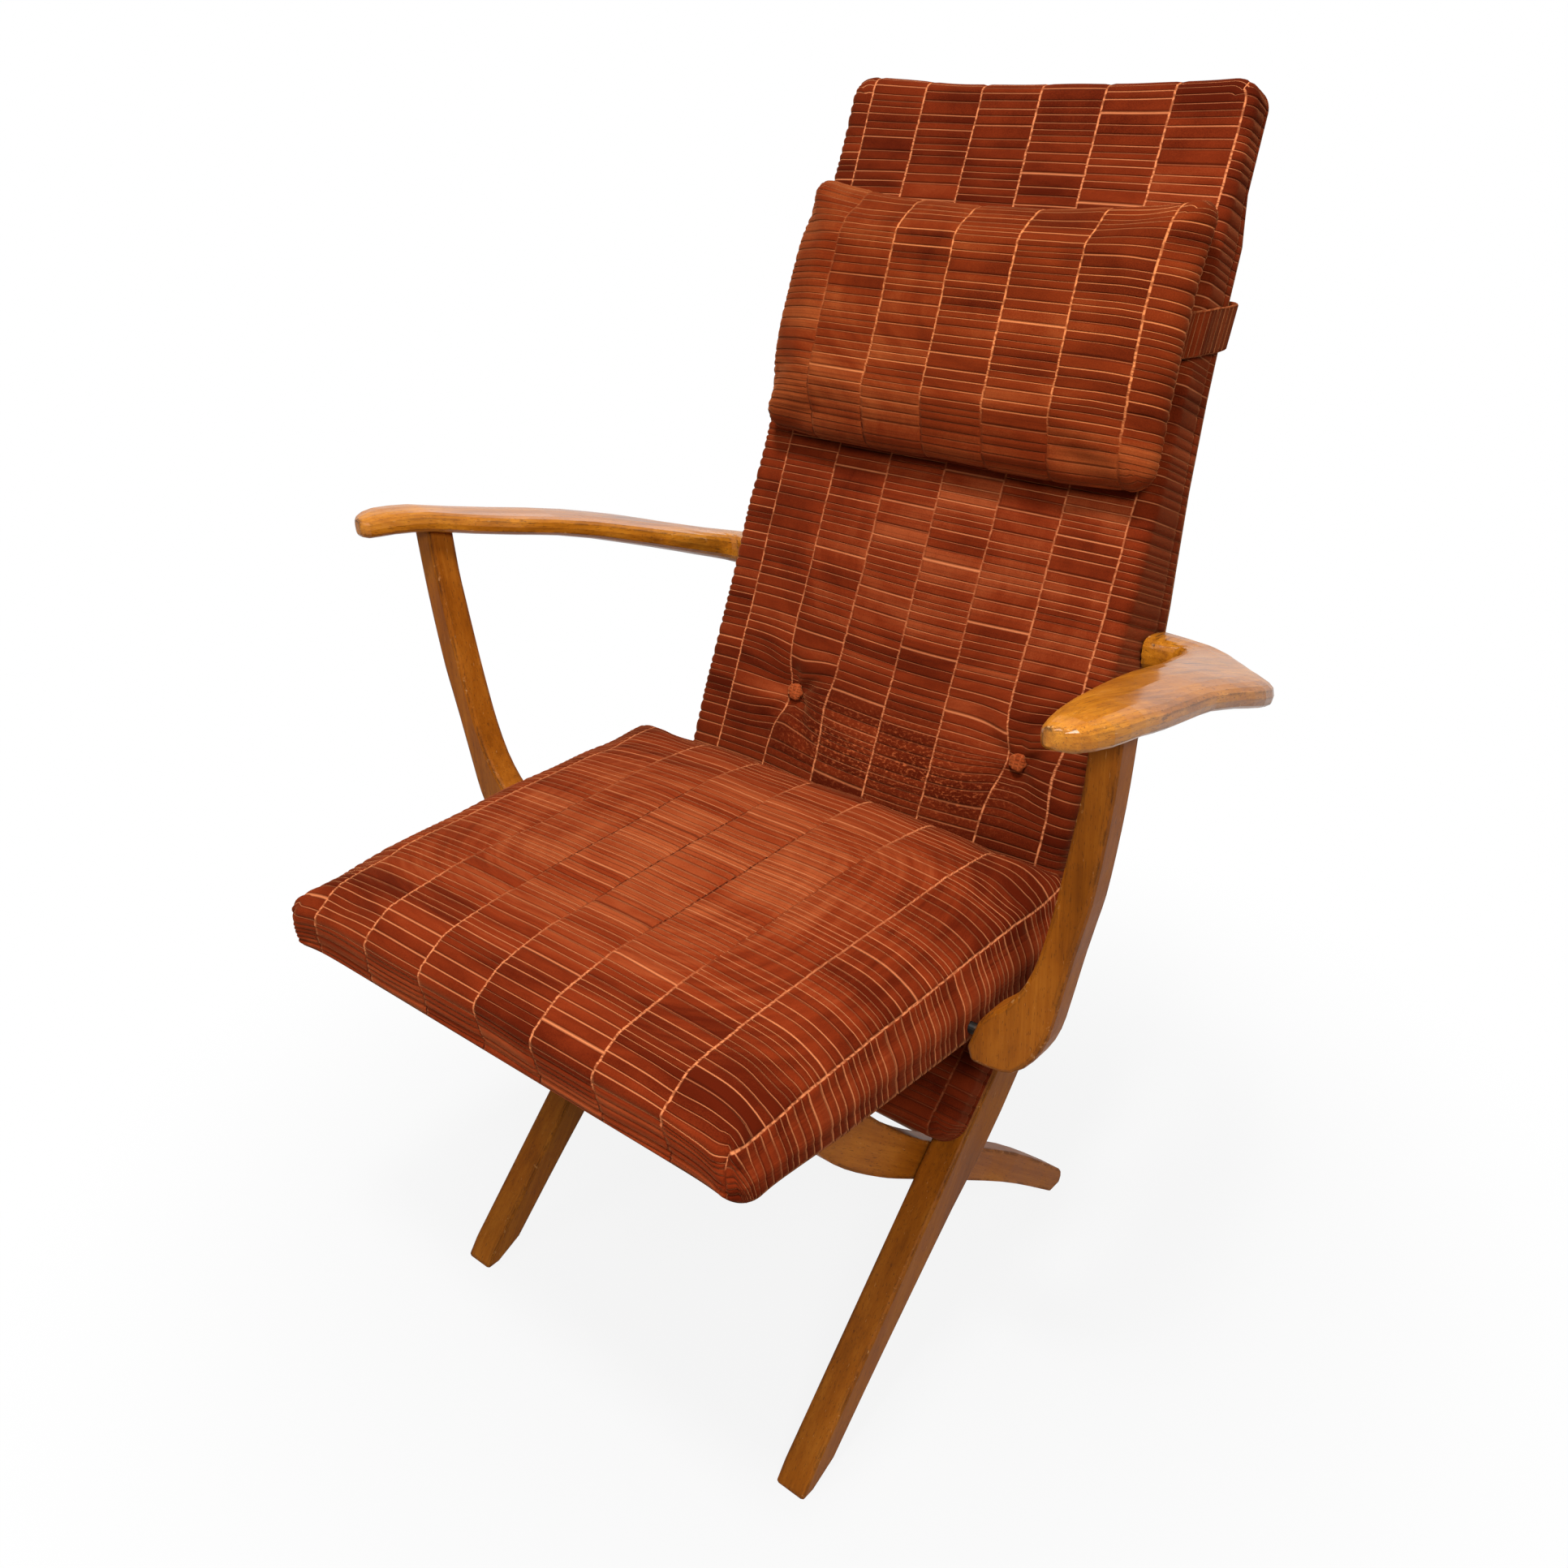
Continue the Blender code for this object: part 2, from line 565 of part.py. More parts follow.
# Webbing
def seat_webbing():
    """Rubber bands stretched from seat rail to seat rail."""
    first, last = SEAT_AXLE_Y + 0.040, SEAT_REAR_Y - 0.090
    z = SEAT_FRAME_TOP + GAP + WEB_THICK / 2
    size = (2 * (SEAT_RAIL_OUTER - 0.002), SEAT_BAND_WIDTH, WEB_THICK)
    step = (last - first) / (SEAT_BANDS - 1)
    return [box("seat_web_%d" % (k + 1), (0, first + step * k, z), size, WEBBING)
            for k in range(SEAT_BANDS)]


def back_webbing():
    """Rubber bands across the front edges of the side rails."""
    first, last = heel_from_bend + 0.050, rail_top - 0.040
    bands = []
    for k in range(BACK_BANDS):
        place = first + (last - first) * k / (BACK_BANDS - 1)
        reach = half_width(place + BACK_BAND_WIDTH / 2) - COVER_THICK - 0.0015
        size = (2 * reach, WEB_THICK, BACK_BAND_WIDTH)
        front, forward = rail_front(place)
        middle = front + forward * (GAP + WEB_THICK / 2)
        bands.append(box("back_web_%d" % (k + 1), (0, middle.x, middle.y), size, WEBBING,
                         BACK_ANGLE - pi / 2))
    return bands


# Cushions
def spread(count, half, power=1.0):
    """Places from -half to +half, closer together near the ends when power is over 1."""
    places = []
    for k in range(count):
        t = 2 * k / (count - 1) - 1
        places.append(half * (1 - (1 - abs(t)) ** power) * (1 if t >= 0 else -1))
    return places


def corner_inset(distance, radius):
    """How far a rounded corner has drawn in, at a distance from the end."""
    if distance >= radius:
        return 0.0
    return radius - sqrt(max(radius ** 2 - (radius - distance) ** 2, 0.0))


def tuft(x, along):
    """Depth of the sewn tufts that hold the two buttons."""
    depth = 0.0
    for side in (-1, 1):
        away = (x - BUTTON_SHIFT - side * BUTTON_X) ** 2 + (along - button_place) ** 2
        depth += TUFT_DEPTH * exp(-2.2 * away / TUFT_SPREAD ** 2)
    return depth


button_place = heel_from_bend + BUTTON_ABOVE_SEAT


def back_pad():
    """Backrest cushion: a crowned slab whose sides wrap the rails."""
    low = BACK_LOWER_END - bend_distance
    stations = [low + d for d in (0.0, 0.004, 0.012, 0.030, 0.060)]
    stations += [-bend_tangent, 0.0, bend_tangent]
    first, last = bend_tangent + 0.03, cushion_top - 0.075
    tuft_rows = [button_place + d
                 for d in (-0.030, -0.018, -0.008, 0.0, 0.008, 0.018, 0.030, 0.050)]
    stations += tuft_rows
    plain = 9
    start = tuft_rows[-1]
    stations += [start + (last - start) * k / plain for k in range(1, plain + 1)]
    stations += [heel_from_bend + TAPER_START]
    stations += [cushion_top - d for d in (0.045, 0.026, 0.013, 0.005, 0.0)]
    stations.sort()
    columns = sorted(spread(13, BACK_HALF_WIDTH * 0.93) + [
        BUTTON_SHIFT + side * BUTTON_X + d for side in (-1, 1) for d in (-0.016, -0.006, 0.006, 0.016)])
    return loft("back_pad", [back_pad_ring(s, low, columns) for s in stations], VELVET)


def back_pad_ring(station, low, columns):
    """One section of the backrest cushion, across its width."""
    from_low, from_top = station - low, cushion_top - station
    inset = max(corner_inset(from_low, 0.030), corner_inset(from_top, 0.026))
    half = half_width(station) - inset
    end = min(from_low, from_top)
    thin = corner_inset(end, 0.014)
    rear, face = CUSHION_STANDOFF + thin, CUSHION_STANDOFF + BACK_SLAB - thin
    crown = BACK_CROWN * min(1.0, end / 0.05)
    on_rail = GAP < station < rail_top
    flange = -between(station, BACK_RAIL_DEPTHS) if on_rail else rear - 1e-5
    if on_rail:
        flange *= min(1.0, (rail_top + 0.02 - station) / 0.04)
    ring = []
    for x in columns:
        share = x / BACK_HALF_WIDTH
        depth = face + crown * (1 - share * share) - tuft(x, station)
        ring.append((x * half / BACK_HALF_WIDTH, depth))
    shoulder = (face - rear) * 0.30
    lip = min(half - 1e-3, half_width(station) - COVER_THICK)
    side = [(half * 0.985, face - shoulder * 0.35), (half, face - shoulder), (half, rear + 1e-3),
            (half, flange), (lip, flange), (lip, rear)]
    ring += side
    ring += [(-x, depth) for x, depth in reversed(side)]
    dip = 0.011 * max(0.0, 1 - from_top / 0.10)
    points = []
    for x, depth in ring:
        front, forward = rail_front(station - dip * (1 - (x / BACK_HALF_WIDTH) ** 2))
        spot = front + forward * depth
        points.append((x, spot.x, spot.y))
    return points


def seat_pad():
    """Seat cushion: a crowned slab with a cover that hangs round the frame."""
    front, rear = SEAT_FRONT_Y, SEAT_REAR_Y
    wall = SEAT_SKIRT
    stations = [front, front + 0.002, front + wall, front + wall + 1e-4, front + 0.016, front + 0.032]
    plain = 12
    stations += [stations[-1] + (rear - 0.030 - stations[-1]) * k / plain for k in range(1, plain + 1)]
    stations += [rear - 0.014, rear - wall - 1e-4, rear - wall, rear - 0.002, rear]
    columns = spread(19, SEAT_HALF_WIDTH * 0.945, 1.25)
    rings = []
    for y in stations:
        open_below = front + wall < y < rear - wall
        rings.append(seat_pad_ring(y, columns, open_below))
    return loft("seat_pad", rings, VELVET)


def seat_pad_ring(y, columns, open_below):
    """One section of the seat cushion, across its width."""
    from_front, from_rear = y - SEAT_FRONT_Y, SEAT_REAR_Y - y
    end = min(from_front, from_rear)
    half = SEAT_HALF_WIDTH - 0.7 * corner_inset(from_front, 0.018) - 0.6 * corner_inset(from_rear, 0.018)
    top = SEAT_TOP - 0.7 * corner_inset(end, 0.012)
    crown = SEAT_CROWN * min(1.0, end / 0.10) ** 0.7
    bottom = seat_bottom(y)
    roof = SEAT_FRAME_TOP + CUSHION_STANDOFF if open_below else bottom + 1e-5
    ring = []
    for x in columns:
        share = abs(x) / SEAT_HALF_WIDTH
        ring.append((x * half / SEAT_HALF_WIDTH, top + crown * (1 - share ** 3.6)))
    drop = top - bottom
    inner = min(SEAT_HALF_WIDTH - SEAT_SKIRT, half - 0.0015)
    side = [(half * 0.988, top - drop * 0.06), (half, top - drop * 0.20), (half - 0.0015, top - drop * 0.6),
            (half, bottom), (inner, bottom), (inner, roof)]
    ring += side
    ring += [(-x, z) for x, z in reversed(side)]
    lean = max(0.0, 1 - from_rear / 0.09)
    return [(x, y - lean * (SEAT_TOP - z) / tan(BACK_ANGLE), z) for x, z in ring]


def head_pillow():
    """Slim boxed pillow on the backrest, with full sides and a crowned face."""
    middle = heel_from_bend + PILLOW_ABOVE_SEAT
    rest = CUSHION_STANDOFF + BACK_SLAB + BACK_CROWN + GAP
    half = PILLOW_HEIGHT / 2
    corner = 0.016
    upper = (0.13, 0.38, 0.6, 0.78, 0.89, 0.95, 0.985, 1.0)
    shares = [-share for share in reversed(upper)] + list(upper)
    rings = []
    for share in shares:
        from_end = half * (1 - abs(share))
        thin = corner_inset(from_end, corner)
        width = PILLOW_HALF_WIDTH - 0.8 * corner_inset(from_end, corner)
        fullness = 0.80 + 0.20 * (1 - share ** 2)
        ring = []
        for x, depth in pillow_section(width, corner):
            crown = 1 - (x / width) ** 4
            dip = 0.010 * max(0.0, share) * (1 - (x / width) ** 2)
            top = PILLOW_THICK * (fullness - 0.12 * (1 - crown)) - thin
            low = thin * 0.8
            front, forward = rail_front(middle + half * share - dip)
            spot = front + forward * (rest + low + (top - low) * depth)
            ring.append((PILLOW_SHIFT + x, spot.x, spot.y))
        rings.append(ring)
    return loft("head_pillow", rings, VELVET)


def pillow_section(width, corner):
    """Rounded section of the pillow: x and the share of its thickness."""
    flat = width - corner
    face = [-flat + 2 * flat * k / 10 for k in range(11)]
    arc = [(corner * sin(a), 0.5 * cos(a)) for a in (radians(30), radians(62))]
    section = [(x, 1.0) for x in face]
    section += [(flat + dx, 0.5 + dd) for dx, dd in arc] + [(width, 0.5)]
    section += [(flat + dx, 0.5 - dd) for dx, dd in reversed(arc)]
    section += [(x, 0.0) for x in reversed(face)]
    section += [(-flat - dx, 0.5 - dd) for dx, dd in arc] + [(-width, 0.5)]
    section += [(-flat - dx, 0.5 + dd) for dx, dd in reversed(arc)]
    return section


def pillow_strap():
    """Velvet band from the pillow's sides round the back of the rails."""
    middle = heel_from_bend + PILLOW_ABOVE_SEAT + STRAP_ABOVE_MIDDLE
    rest = CUSHION_STANDOFF + BACK_SLAB + BACK_CROWN + GAP
    lowest = middle - PILLOW_TRAVEL - STRAP_WIDTH / 2
    behind = -(between(lowest, BACK_RAIL_DEPTHS) + 0.0018 + STRAP_PLAY)
    side = half_width(lowest) + STRAP_PLAY
    route = []
    for sign in (1, -1):
        end = PILLOW_HALF_WIDTH + GAP + sign * PILLOW_SHIFT
        half_route = [(end, rest + PILLOW_THICK * 0.45), (side - 0.003, rest - 0.002), (side, rest - 0.014),
                      (side, behind + 0.004), (side - 0.004, behind)]
        route += half_route if sign > 0 else [(-x, depth) for x, depth in reversed(half_route)]
    rings = []
    for i, (x, depth) in enumerate(route):
        before, after = route[max(i - 1, 0)], route[min(i + 1, len(route) - 1)]
        heading = atan2(after[1] - before[1], after[0] - before[0])
        out = Vector((-sin(heading), cos(heading))) * STRAP_THICK
        ring = []
        for across, shift in ((-0.5, 0), (0.5, 0), (0.5, 1), (-0.5, 1)):
            front, forward = rail_front(middle + STRAP_WIDTH * across)
            spot = front + forward * (depth + shift * out.y)
            ring.append((x + shift * out.x, spot.x, spot.y))
        rings.append(ring)
    return loft("pillow_strap", rings, VELVET_STRAP)


def back_button(side, sign):
    """Covered button at the bottom of a tuft."""
    x = BUTTON_SHIFT + sign * BUTTON_X
    share = x / BACK_HALF_WIDTH
    rim_rise = TUFT_DEPTH * (1 - exp(-2.2 * (1.15 * BUTTON_RADIUS / TUFT_SPREAD) ** 2))
    face = CUSHION_STANDOFF + BACK_SLAB + BACK_CROWN * (1 - share * share)
    depth = face - TUFT_DEPTH + rim_rise + 2 * GAP
    front, forward = rail_front(button_place)
    foot = front + forward * depth
    head = front + forward * (depth + 0.004)
    run = ((x, foot.x, foot.y), (x, head.x, head.y), BUTTON_RADIUS)
    return rods("back_button_" + side, [run], VELVET, 16)


# Plan of an armrest from tip to pivot: inner edge and outer edge, each as a share of the reach
# outside the rail and a share of the arm's length ahead of the pivot
ARM_PLAN = (
    (0.7918, 1.0000, 0.8328, 0.9988),
    (0.7566, 0.9820, 0.9208, 0.9748),
    (0.7243, 0.9219, 0.9883, 0.9219),
    (0.6804, 0.8329, 1.0000, 0.8329),
    (0.6158, 0.7344, 0.9853, 0.7344),
    (0.5601, 0.6310, 0.9589, 0.6310),
    (0.5161, 0.5204, 0.9355, 0.5204),
    (0.4751, 0.4171, 0.9384, 0.4147),
    (0.4164, 0.3233, 0.9413, 0.3089),
    (0.3343, 0.2175, 0.8915, 0.2224),
    (0.2698, 0.1214, 0.7449, 0.1454),
    (0.2111, 0.0637, 0.5513, 0.0445),
    (0.1290, 0.0589, 0.3460, -0.0300),
    (0.0059, 0.0613, 0.0117, -0.0613))
# Top of the armrest: share of its length ahead of the pivot, and share of its rise
ARM_TOP = (
    (-0.0709, 0.1080), (0.0349, 0.1706), (0.1214, 0.2567), (0.2560, 0.4053), (0.4171, 0.5775),
    (0.5300, 0.6831), (0.6406, 0.7731), (0.7464, 0.8631), (0.8474, 0.9570), (0.9387, 1.0000),
    (1.0108, 0.9844))
# Outline of a post: shares of its reach beyond the seat, and of its height above the stud
POST_INNER = (
    (0.8821, 1.0000), (0.8589, 0.8477), (0.8171, 0.7446), (0.7707, 0.6415), (0.7242, 0.5433),
    (0.6639, 0.4320), (0.5989, 0.3338), (0.4968, 0.2324), (0.3621, 0.1571), (0.2228, 0.1080),
    (0.1207, 0.0556), (0.0371, -0.0295))
POST_OUTER = (
    (0.0743, -0.0720), (0.2600, -0.0687), (0.4364, -0.0524), (0.6035, 0.0131), (0.7057, 0.0933),
    (0.7614, 0.1767), (0.8124, 0.2651), (0.8635, 0.3535), (0.9239, 0.4484), (0.9749, 0.5286),
    (1.0214, 0.6415), (1.0641, 0.7691), (1.0910, 0.8804), (1.1142, 1.0000))


def armrest(side, sign):
    """Paddle-shaped armrest that hooks inwards to its pivot beside the backrest."""
    stations = smooth_line(ARM_PLAN, 2)
    rings = []
    last = len(stations) - 1
    for i, station in enumerate(stations):
        share = i / last
        thick = ARM_THICK + (ARM_END_THICK - ARM_THICK) * max(0.0, (share - 0.45) / 0.55)
        if share < 0.16:
            thick = ARM_TIP_THICK + (ARM_THICK - ARM_TIP_THICK) * sin(share / 0.16 * pi / 2)
        rings.append(arm_ring(sign, station, thick))
    return loft("armrest_" + side, rings, BEECH)


def arm_ring(sign, station, thick):
    """Rounded section of the armrest between its inner and outer edges."""
    x1, ahead1, x2, ahead2 = station
    span = SEAT_HALF_WIDTH + ARM_REACH - RAIL_OUTER
    ring = []
    for k in range(20):
        a = 2 * pi * k / 20
        across = (1 if cos(a) >= 0 else -1) * abs(cos(a)) ** 0.55 / 2 + 0.5
        height = (1 if sin(a) >= 0 else -1) * abs(sin(a)) ** 0.62 / 2 - 0.5
        x = RAIL_OUTER + span * (x1 + (x2 - x1) * across)
        y = arm_pivot.x - ARM_LENGTH * (ahead1 + (ahead2 - ahead1) * across)
        crown = 0.002 * (1 - (2 * across - 1) ** 2)
        z = arm_top(y) + thick * height + (crown if height > -0.5 else 0)
        ring.append((sign * x, y, z))
    return ring


def arm_top(y):
    """Height of the armrest's top above a point on its length."""
    return arm_pivot.y + ARM_RISE * between((arm_pivot.x - y) / ARM_LENGTH, ARM_TOP)


def arm_post(side, sign):
    """Bowed post from the armrest down to a hooked foot beside the seat."""
    head = arm_top(POST_Y) - ARM_THICK + POST_TENON
    outline = [(sign * (SEAT_HALF_WIDTH + POST_REACH * u), STUD_Z + (head - STUD_Z) * v)
               for u, v in smooth_line(POST_INNER, 2) + smooth_line(POST_OUTER, 2)]
    post = plank("arm_post_" + side, outline, POST_DEPTH, POST_Y, BEECH, "front", 0.004)
    cut(post, stud_slot(side, sign))
    return post


def stud_slot(side, sign):
    """Blind slot in the foot, open below, that drops over the seat's stud."""
    start, end = SEAT_HALF_WIDTH, SEAT_HALF_WIDTH + STUD_REACH + 0.003
    radius = STUD_RADIUS + STUD_SLOT_PLAY
    shape = bmesh.new()
    add_rod(shape, (sign * start, POST_Y, STUD_Z), (sign * end, POST_Y, STUD_Z), radius, 16)
    slot_round = add_object("slot_round_" + side, mesh_of(shape, "slot_round_" + side), None)
    low = STUD_Z - 0.04
    slot_box = box("slot_box_" + side, (sign * (start + end) / 2, POST_Y, (STUD_Z + low) / 2),
                   (end - start, 2 * radius, STUD_Z - low), None)
    union = slot_round.modifiers.new("slot_opening", "BOOLEAN")
    union.operation = "UNION"
    union.solver = "EXACT"
    union.object = slot_box
    return slot_round


def post_mortise(side, sign):
    """Pocket under the armrest for the post's tenon."""
    inner, outer = POST_INNER[0][0], POST_OUTER[-1][0]
    middle = SEAT_HALF_WIDTH + POST_REACH * (inner + outer) / 2
    width = POST_REACH * (outer - inner) + 2 * MORTISE_PLAY
    return box("post_mortise_" + side, (sign * middle, POST_Y, arm_top(POST_Y) - ARM_THICK - 0.010),
               (width, POST_DEPTH + 2 * GAP, 2 * (POST_TENON + 0.010) + GAP), None)


def arm_end_hole(side, sign):
    """Blind hole in the armrest's rear end for its bolt."""
    tip = RAIL_OUTER + ARM_BOLT_REACH + HOLE_PLAY
    return rods("arm_end_hole_" + side, [((sign * (RAIL_INNER + 0.01), arm_pivot.x, arm_pivot.y),
                                          (sign * tip, arm_pivot.x, arm_pivot.y),
                                          ARM_BOLT_RADIUS + HOLE_PLAY)], None)


# Hardware
def turned(name, place, profile, finish, sides=16, ring=False):
    """A turned piece on an X axis, from rows of (x, radius). A ring's profile is closed."""
    shape = bmesh.new()
    points = [shape.verts.new((x, 0, radius)) for x, radius in profile]
    pairs = list(zip(points, points[1:]))
    if ring:
        pairs.append((points[-1], points[0]))
    for pair in pairs:
        shape.edges.new(pair)
    mesh = bpy.data.meshes.new(name)
    shape.to_mesh(mesh)
    shape.free()
    piece = add_object(name, mesh, finish, (0, place[0], place[1]))
    screw = piece.modifiers.new("turning", "SCREW")
    screw.axis = "X"
    screw.steps = sides
    screw.render_steps = sides
    screw.use_merge_vertices = True
    screw.merge_threshold = 0.00001
    area = sum(a[0] * b[1] - b[0] * a[1] for a, b in zip(profile, profile[1:] + profile[:1]))
    screw.use_normal_flip = area < 0
    return piece


def cross_bolt(side, sign):
    """Bolt through the rear leg into the side rail, its head on the inside."""
    head, tip = REAR_LEG_INNER - GAP, RAIL_OUTER - 0.0095
    return turned("cross_bolt_" + side, cross, [
        (sign * (head - BOLT_HEAD_THICK), 0.0), (sign * (head - BOLT_HEAD_THICK), BOLT_HEAD_RADIUS - 0.001),
        (sign * (head - BOLT_HEAD_THICK + 0.001), BOLT_HEAD_RADIUS), (sign * head, BOLT_HEAD_RADIUS),
        (sign * head, PIVOT_BOLT_RADIUS), (sign * tip, PIVOT_BOLT_RADIUS), (sign * tip, 0.0)], STEEL)


def arm_bolt(side, sign):
    """Bolt from inside the side rail into the armrest's rear end."""
    head, tip = RAIL_INNER - GAP, RAIL_OUTER + ARM_BOLT_REACH
    return turned("arm_bolt_" + side, arm_pivot, [
        (sign * (head - BOLT_HEAD_THICK), 0.0), (sign * (head - BOLT_HEAD_THICK), BOLT_HEAD_RADIUS - 0.001),
        (sign * (head - BOLT_HEAD_THICK + 0.001), BOLT_HEAD_RADIUS), (sign * head, BOLT_HEAD_RADIUS),
        (sign * head, ARM_BOLT_RADIUS), (sign * tip, ARM_BOLT_RADIUS), (sign * tip, 0.0)], STEEL)


def flat_ring(name, place, x_from, x_to, outer, inner, finish):
    """A washer or bush on an X axis."""
    return turned(name, place, [(x_from, inner), (x_from, outer), (x_to, outer), (x_to, inner)],
                  finish, 20, ring=True)


# Bodies: an empty stands on each joint's axis and carries the pieces that move with it
def axis_empty(name, place):
    empty = bpy.data.objects.new(name, None)
    empty.empty_display_size = 0.05
    empty.location = place
    chair.objects.link(empty)
    return empty


def with_cutters(piece):
    """A piece and everything that its cuts depend on."""
    found = [piece]
    for modifier in piece.modifiers:
        if modifier.type == "BOOLEAN":
            found += with_cutters(modifier.object)
    return found


def carry(empty, pieces, parent=None):
    """Parent the pieces and their cutters to an empty without moving them."""
    if parent is not None:
        empty.parent = parent
    bpy.context.view_layer.update()
    for piece in pieces:
        for item in with_cutters(piece):
            item.parent = empty
            item.matrix_parent_inverse = empty.matrix_world.inverted()


def build():
    """Make every piece and group the pieces by the body that they move with."""
    frame = list(side_pair(side_rail))
    frame.append(back_cross_rail("back_lower_rail", heel_from_bend + LOWER_RAIL_ABOVE_SEAT,
                                 CROSS_RAIL_HEIGHT, LOWER_RAIL_THICK))
    frame.append(back_cross_rail("back_middle_rail", heel_from_bend + MIDDLE_RAIL_ABOVE_SEAT,
                                 CROSS_RAIL_HEIGHT, MIDDLE_RAIL_THICK))
    frame.append(back_cross_rail("back_top_rail", rail_top - TOP_RAIL_BELOW_END, TOP_RAIL_HEIGHT,
                                 TOP_RAIL_THICK))
    frame += back_webbing()
    pad = back_pad()
    bush_holes = [rods("bush_hole_" + side, [((sign * (RAIL_INNER + 0.008), arm_pivot.x, arm_pivot.y),
                                              (sign * (RAIL_OUTER + 0.012), arm_pivot.x, arm_pivot.y),
                                              BUSH_RADIUS + HOLE_PLAY)], None, 20)
                  for side, sign in (("left", 1), ("right", -1))]
    cut(pad, *bush_holes)
    frame += [pad] + list(side_pair(back_button))
    frame += list(side_pair(cross_bolt)) + list(side_pair(arm_bolt))
    for side, sign in (("left", 1), ("right", -1)):
        frame.append(flat_ring("cross_washer_" + side, cross, sign * (REAR_LEG_OUTER + GAP),
                               sign * (RAIL_INNER - GAP), WASHER_RADIUS,
                               PIVOT_BOLT_RADIUS + HOLE_PLAY, STEEL))
        frame.append(flat_ring("arm_bush_" + side, arm_pivot, sign * (COVERED_RAIL_OUTER + GAP),
                               sign * (RAIL_OUTER + BUSH_PROUD), BUSH_RADIUS,
                               ARM_BOLT_RADIUS + HOLE_PLAY, DARK_STEEL))

    legs = list(side_pair(rear_leg)) + stretchers()

    axle_reach = SEAT_RAIL_OUTER - 0.0045
    studs = [rods("seat_stud_" + side, [((sign * (SEAT_RAIL_INNER + 0.0045), POST_Y, STUD_Z),
                                         (sign * (SEAT_HALF_WIDTH + STUD_REACH), POST_Y, STUD_Z),
                                         STUD_RADIUS)], DARK_STEEL)
             for side, sign in (("left", 1), ("right", -1))]
    cushion = seat_pad()
    stud_holes = [rods("stud_hole_" + side, [((sign * (SEAT_HALF_WIDTH - 0.012), POST_Y, STUD_Z),
                                              (sign * (SEAT_HALF_WIDTH + 0.01), POST_Y, STUD_Z),
                                              STUD_RADIUS + HOLE_PLAY)], None)
                  for side, sign in (("left", 1), ("right", -1))]
    cut(cushion, *stud_holes)
    front_y = SEAT_FRONT_Y + SEAT_SKIRT + GAP
    rear_y = seat_rear_face(seat_bottom(SEAT_REAR_Y)) - SEAT_SKIRT - GAP
    seat = list(side_pair(seat_side_rail))
    seat.append(seat_cross_rail("seat_front_rail", front_y, front_y + SEAT_CROSS_RAIL_THICK,
                                seat_bottom(front_y) + 0.003, SEAT_FRAME_TOP))
    seat.append(seat_cross_rail("seat_rear_rail", rear_y - SEAT_CROSS_RAIL_THICK, rear_y,
                                SEAT_RAIL_BELLY + 0.008, SEAT_FRAME_TOP))
    seat.append(rods("seat_axle", [((-axle_reach, SEAT_AXLE_Y, SEAT_AXLE_Z),
                                    (axle_reach, SEAT_AXLE_Y, SEAT_AXLE_Z), SEAT_AXLE_RADIUS)], STEEL))
    seat += studs + seat_webbing() + [cushion]

    arms = {}
    for side, sign in (("left", 1), ("right", -1)):
        rest = armrest(side, sign)
        cut(rest, post_mortise(side, sign), arm_end_hole(side, sign))
        arms[side] = [rest, arm_post(side, sign)]

    pillow = [head_pillow(), pillow_strap()]

    origin = axis_empty("chair_origin", (0, 0, 0))
    carry(origin, frame)
    leg_axis = axis_empty("rear_leg_axis", (0, cross.x, cross.y))
    carry(leg_axis, legs, origin)
    seat_axis = axis_empty("seat_axis", (0, SEAT_AXLE_Y - cross.x, SEAT_AXLE_Z - cross.y))
    carry(seat_axis, seat, leg_axis)
    for side, pieces in arms.items():
        carry(axis_empty("arm_axis_" + side, (0, arm_pivot.x, arm_pivot.y)), pieces, origin)
    middle, _ = rail_front(heel_from_bend + PILLOW_ABOVE_SEAT)
    carry(axis_empty("pillow_slide", (0, middle.x, middle.y)), pillow, origin)
    return origin


def stand_at_origin(origin):
    """Move the chair so that its origin is at the bottom centre of its box."""
    bpy.context.view_layer.update()
    view = bpy.context.evaluated_depsgraph_get()
    low, high, floor = 1e9, -1e9, 1e9
    for piece in chair.objects:
        if piece.type != "MESH":
            continue
        solid = piece.evaluated_get(view)
        for vertex in solid.data.vertices:
            spot = solid.matrix_world @ vertex.co
            low, high, floor = min(low, spot.y), max(high, spot.y), min(floor, spot.z)
    origin.location = (0, -(low + high) / 2, -floor)
    bpy.context.view_layer.update()


stand_at_origin(build())
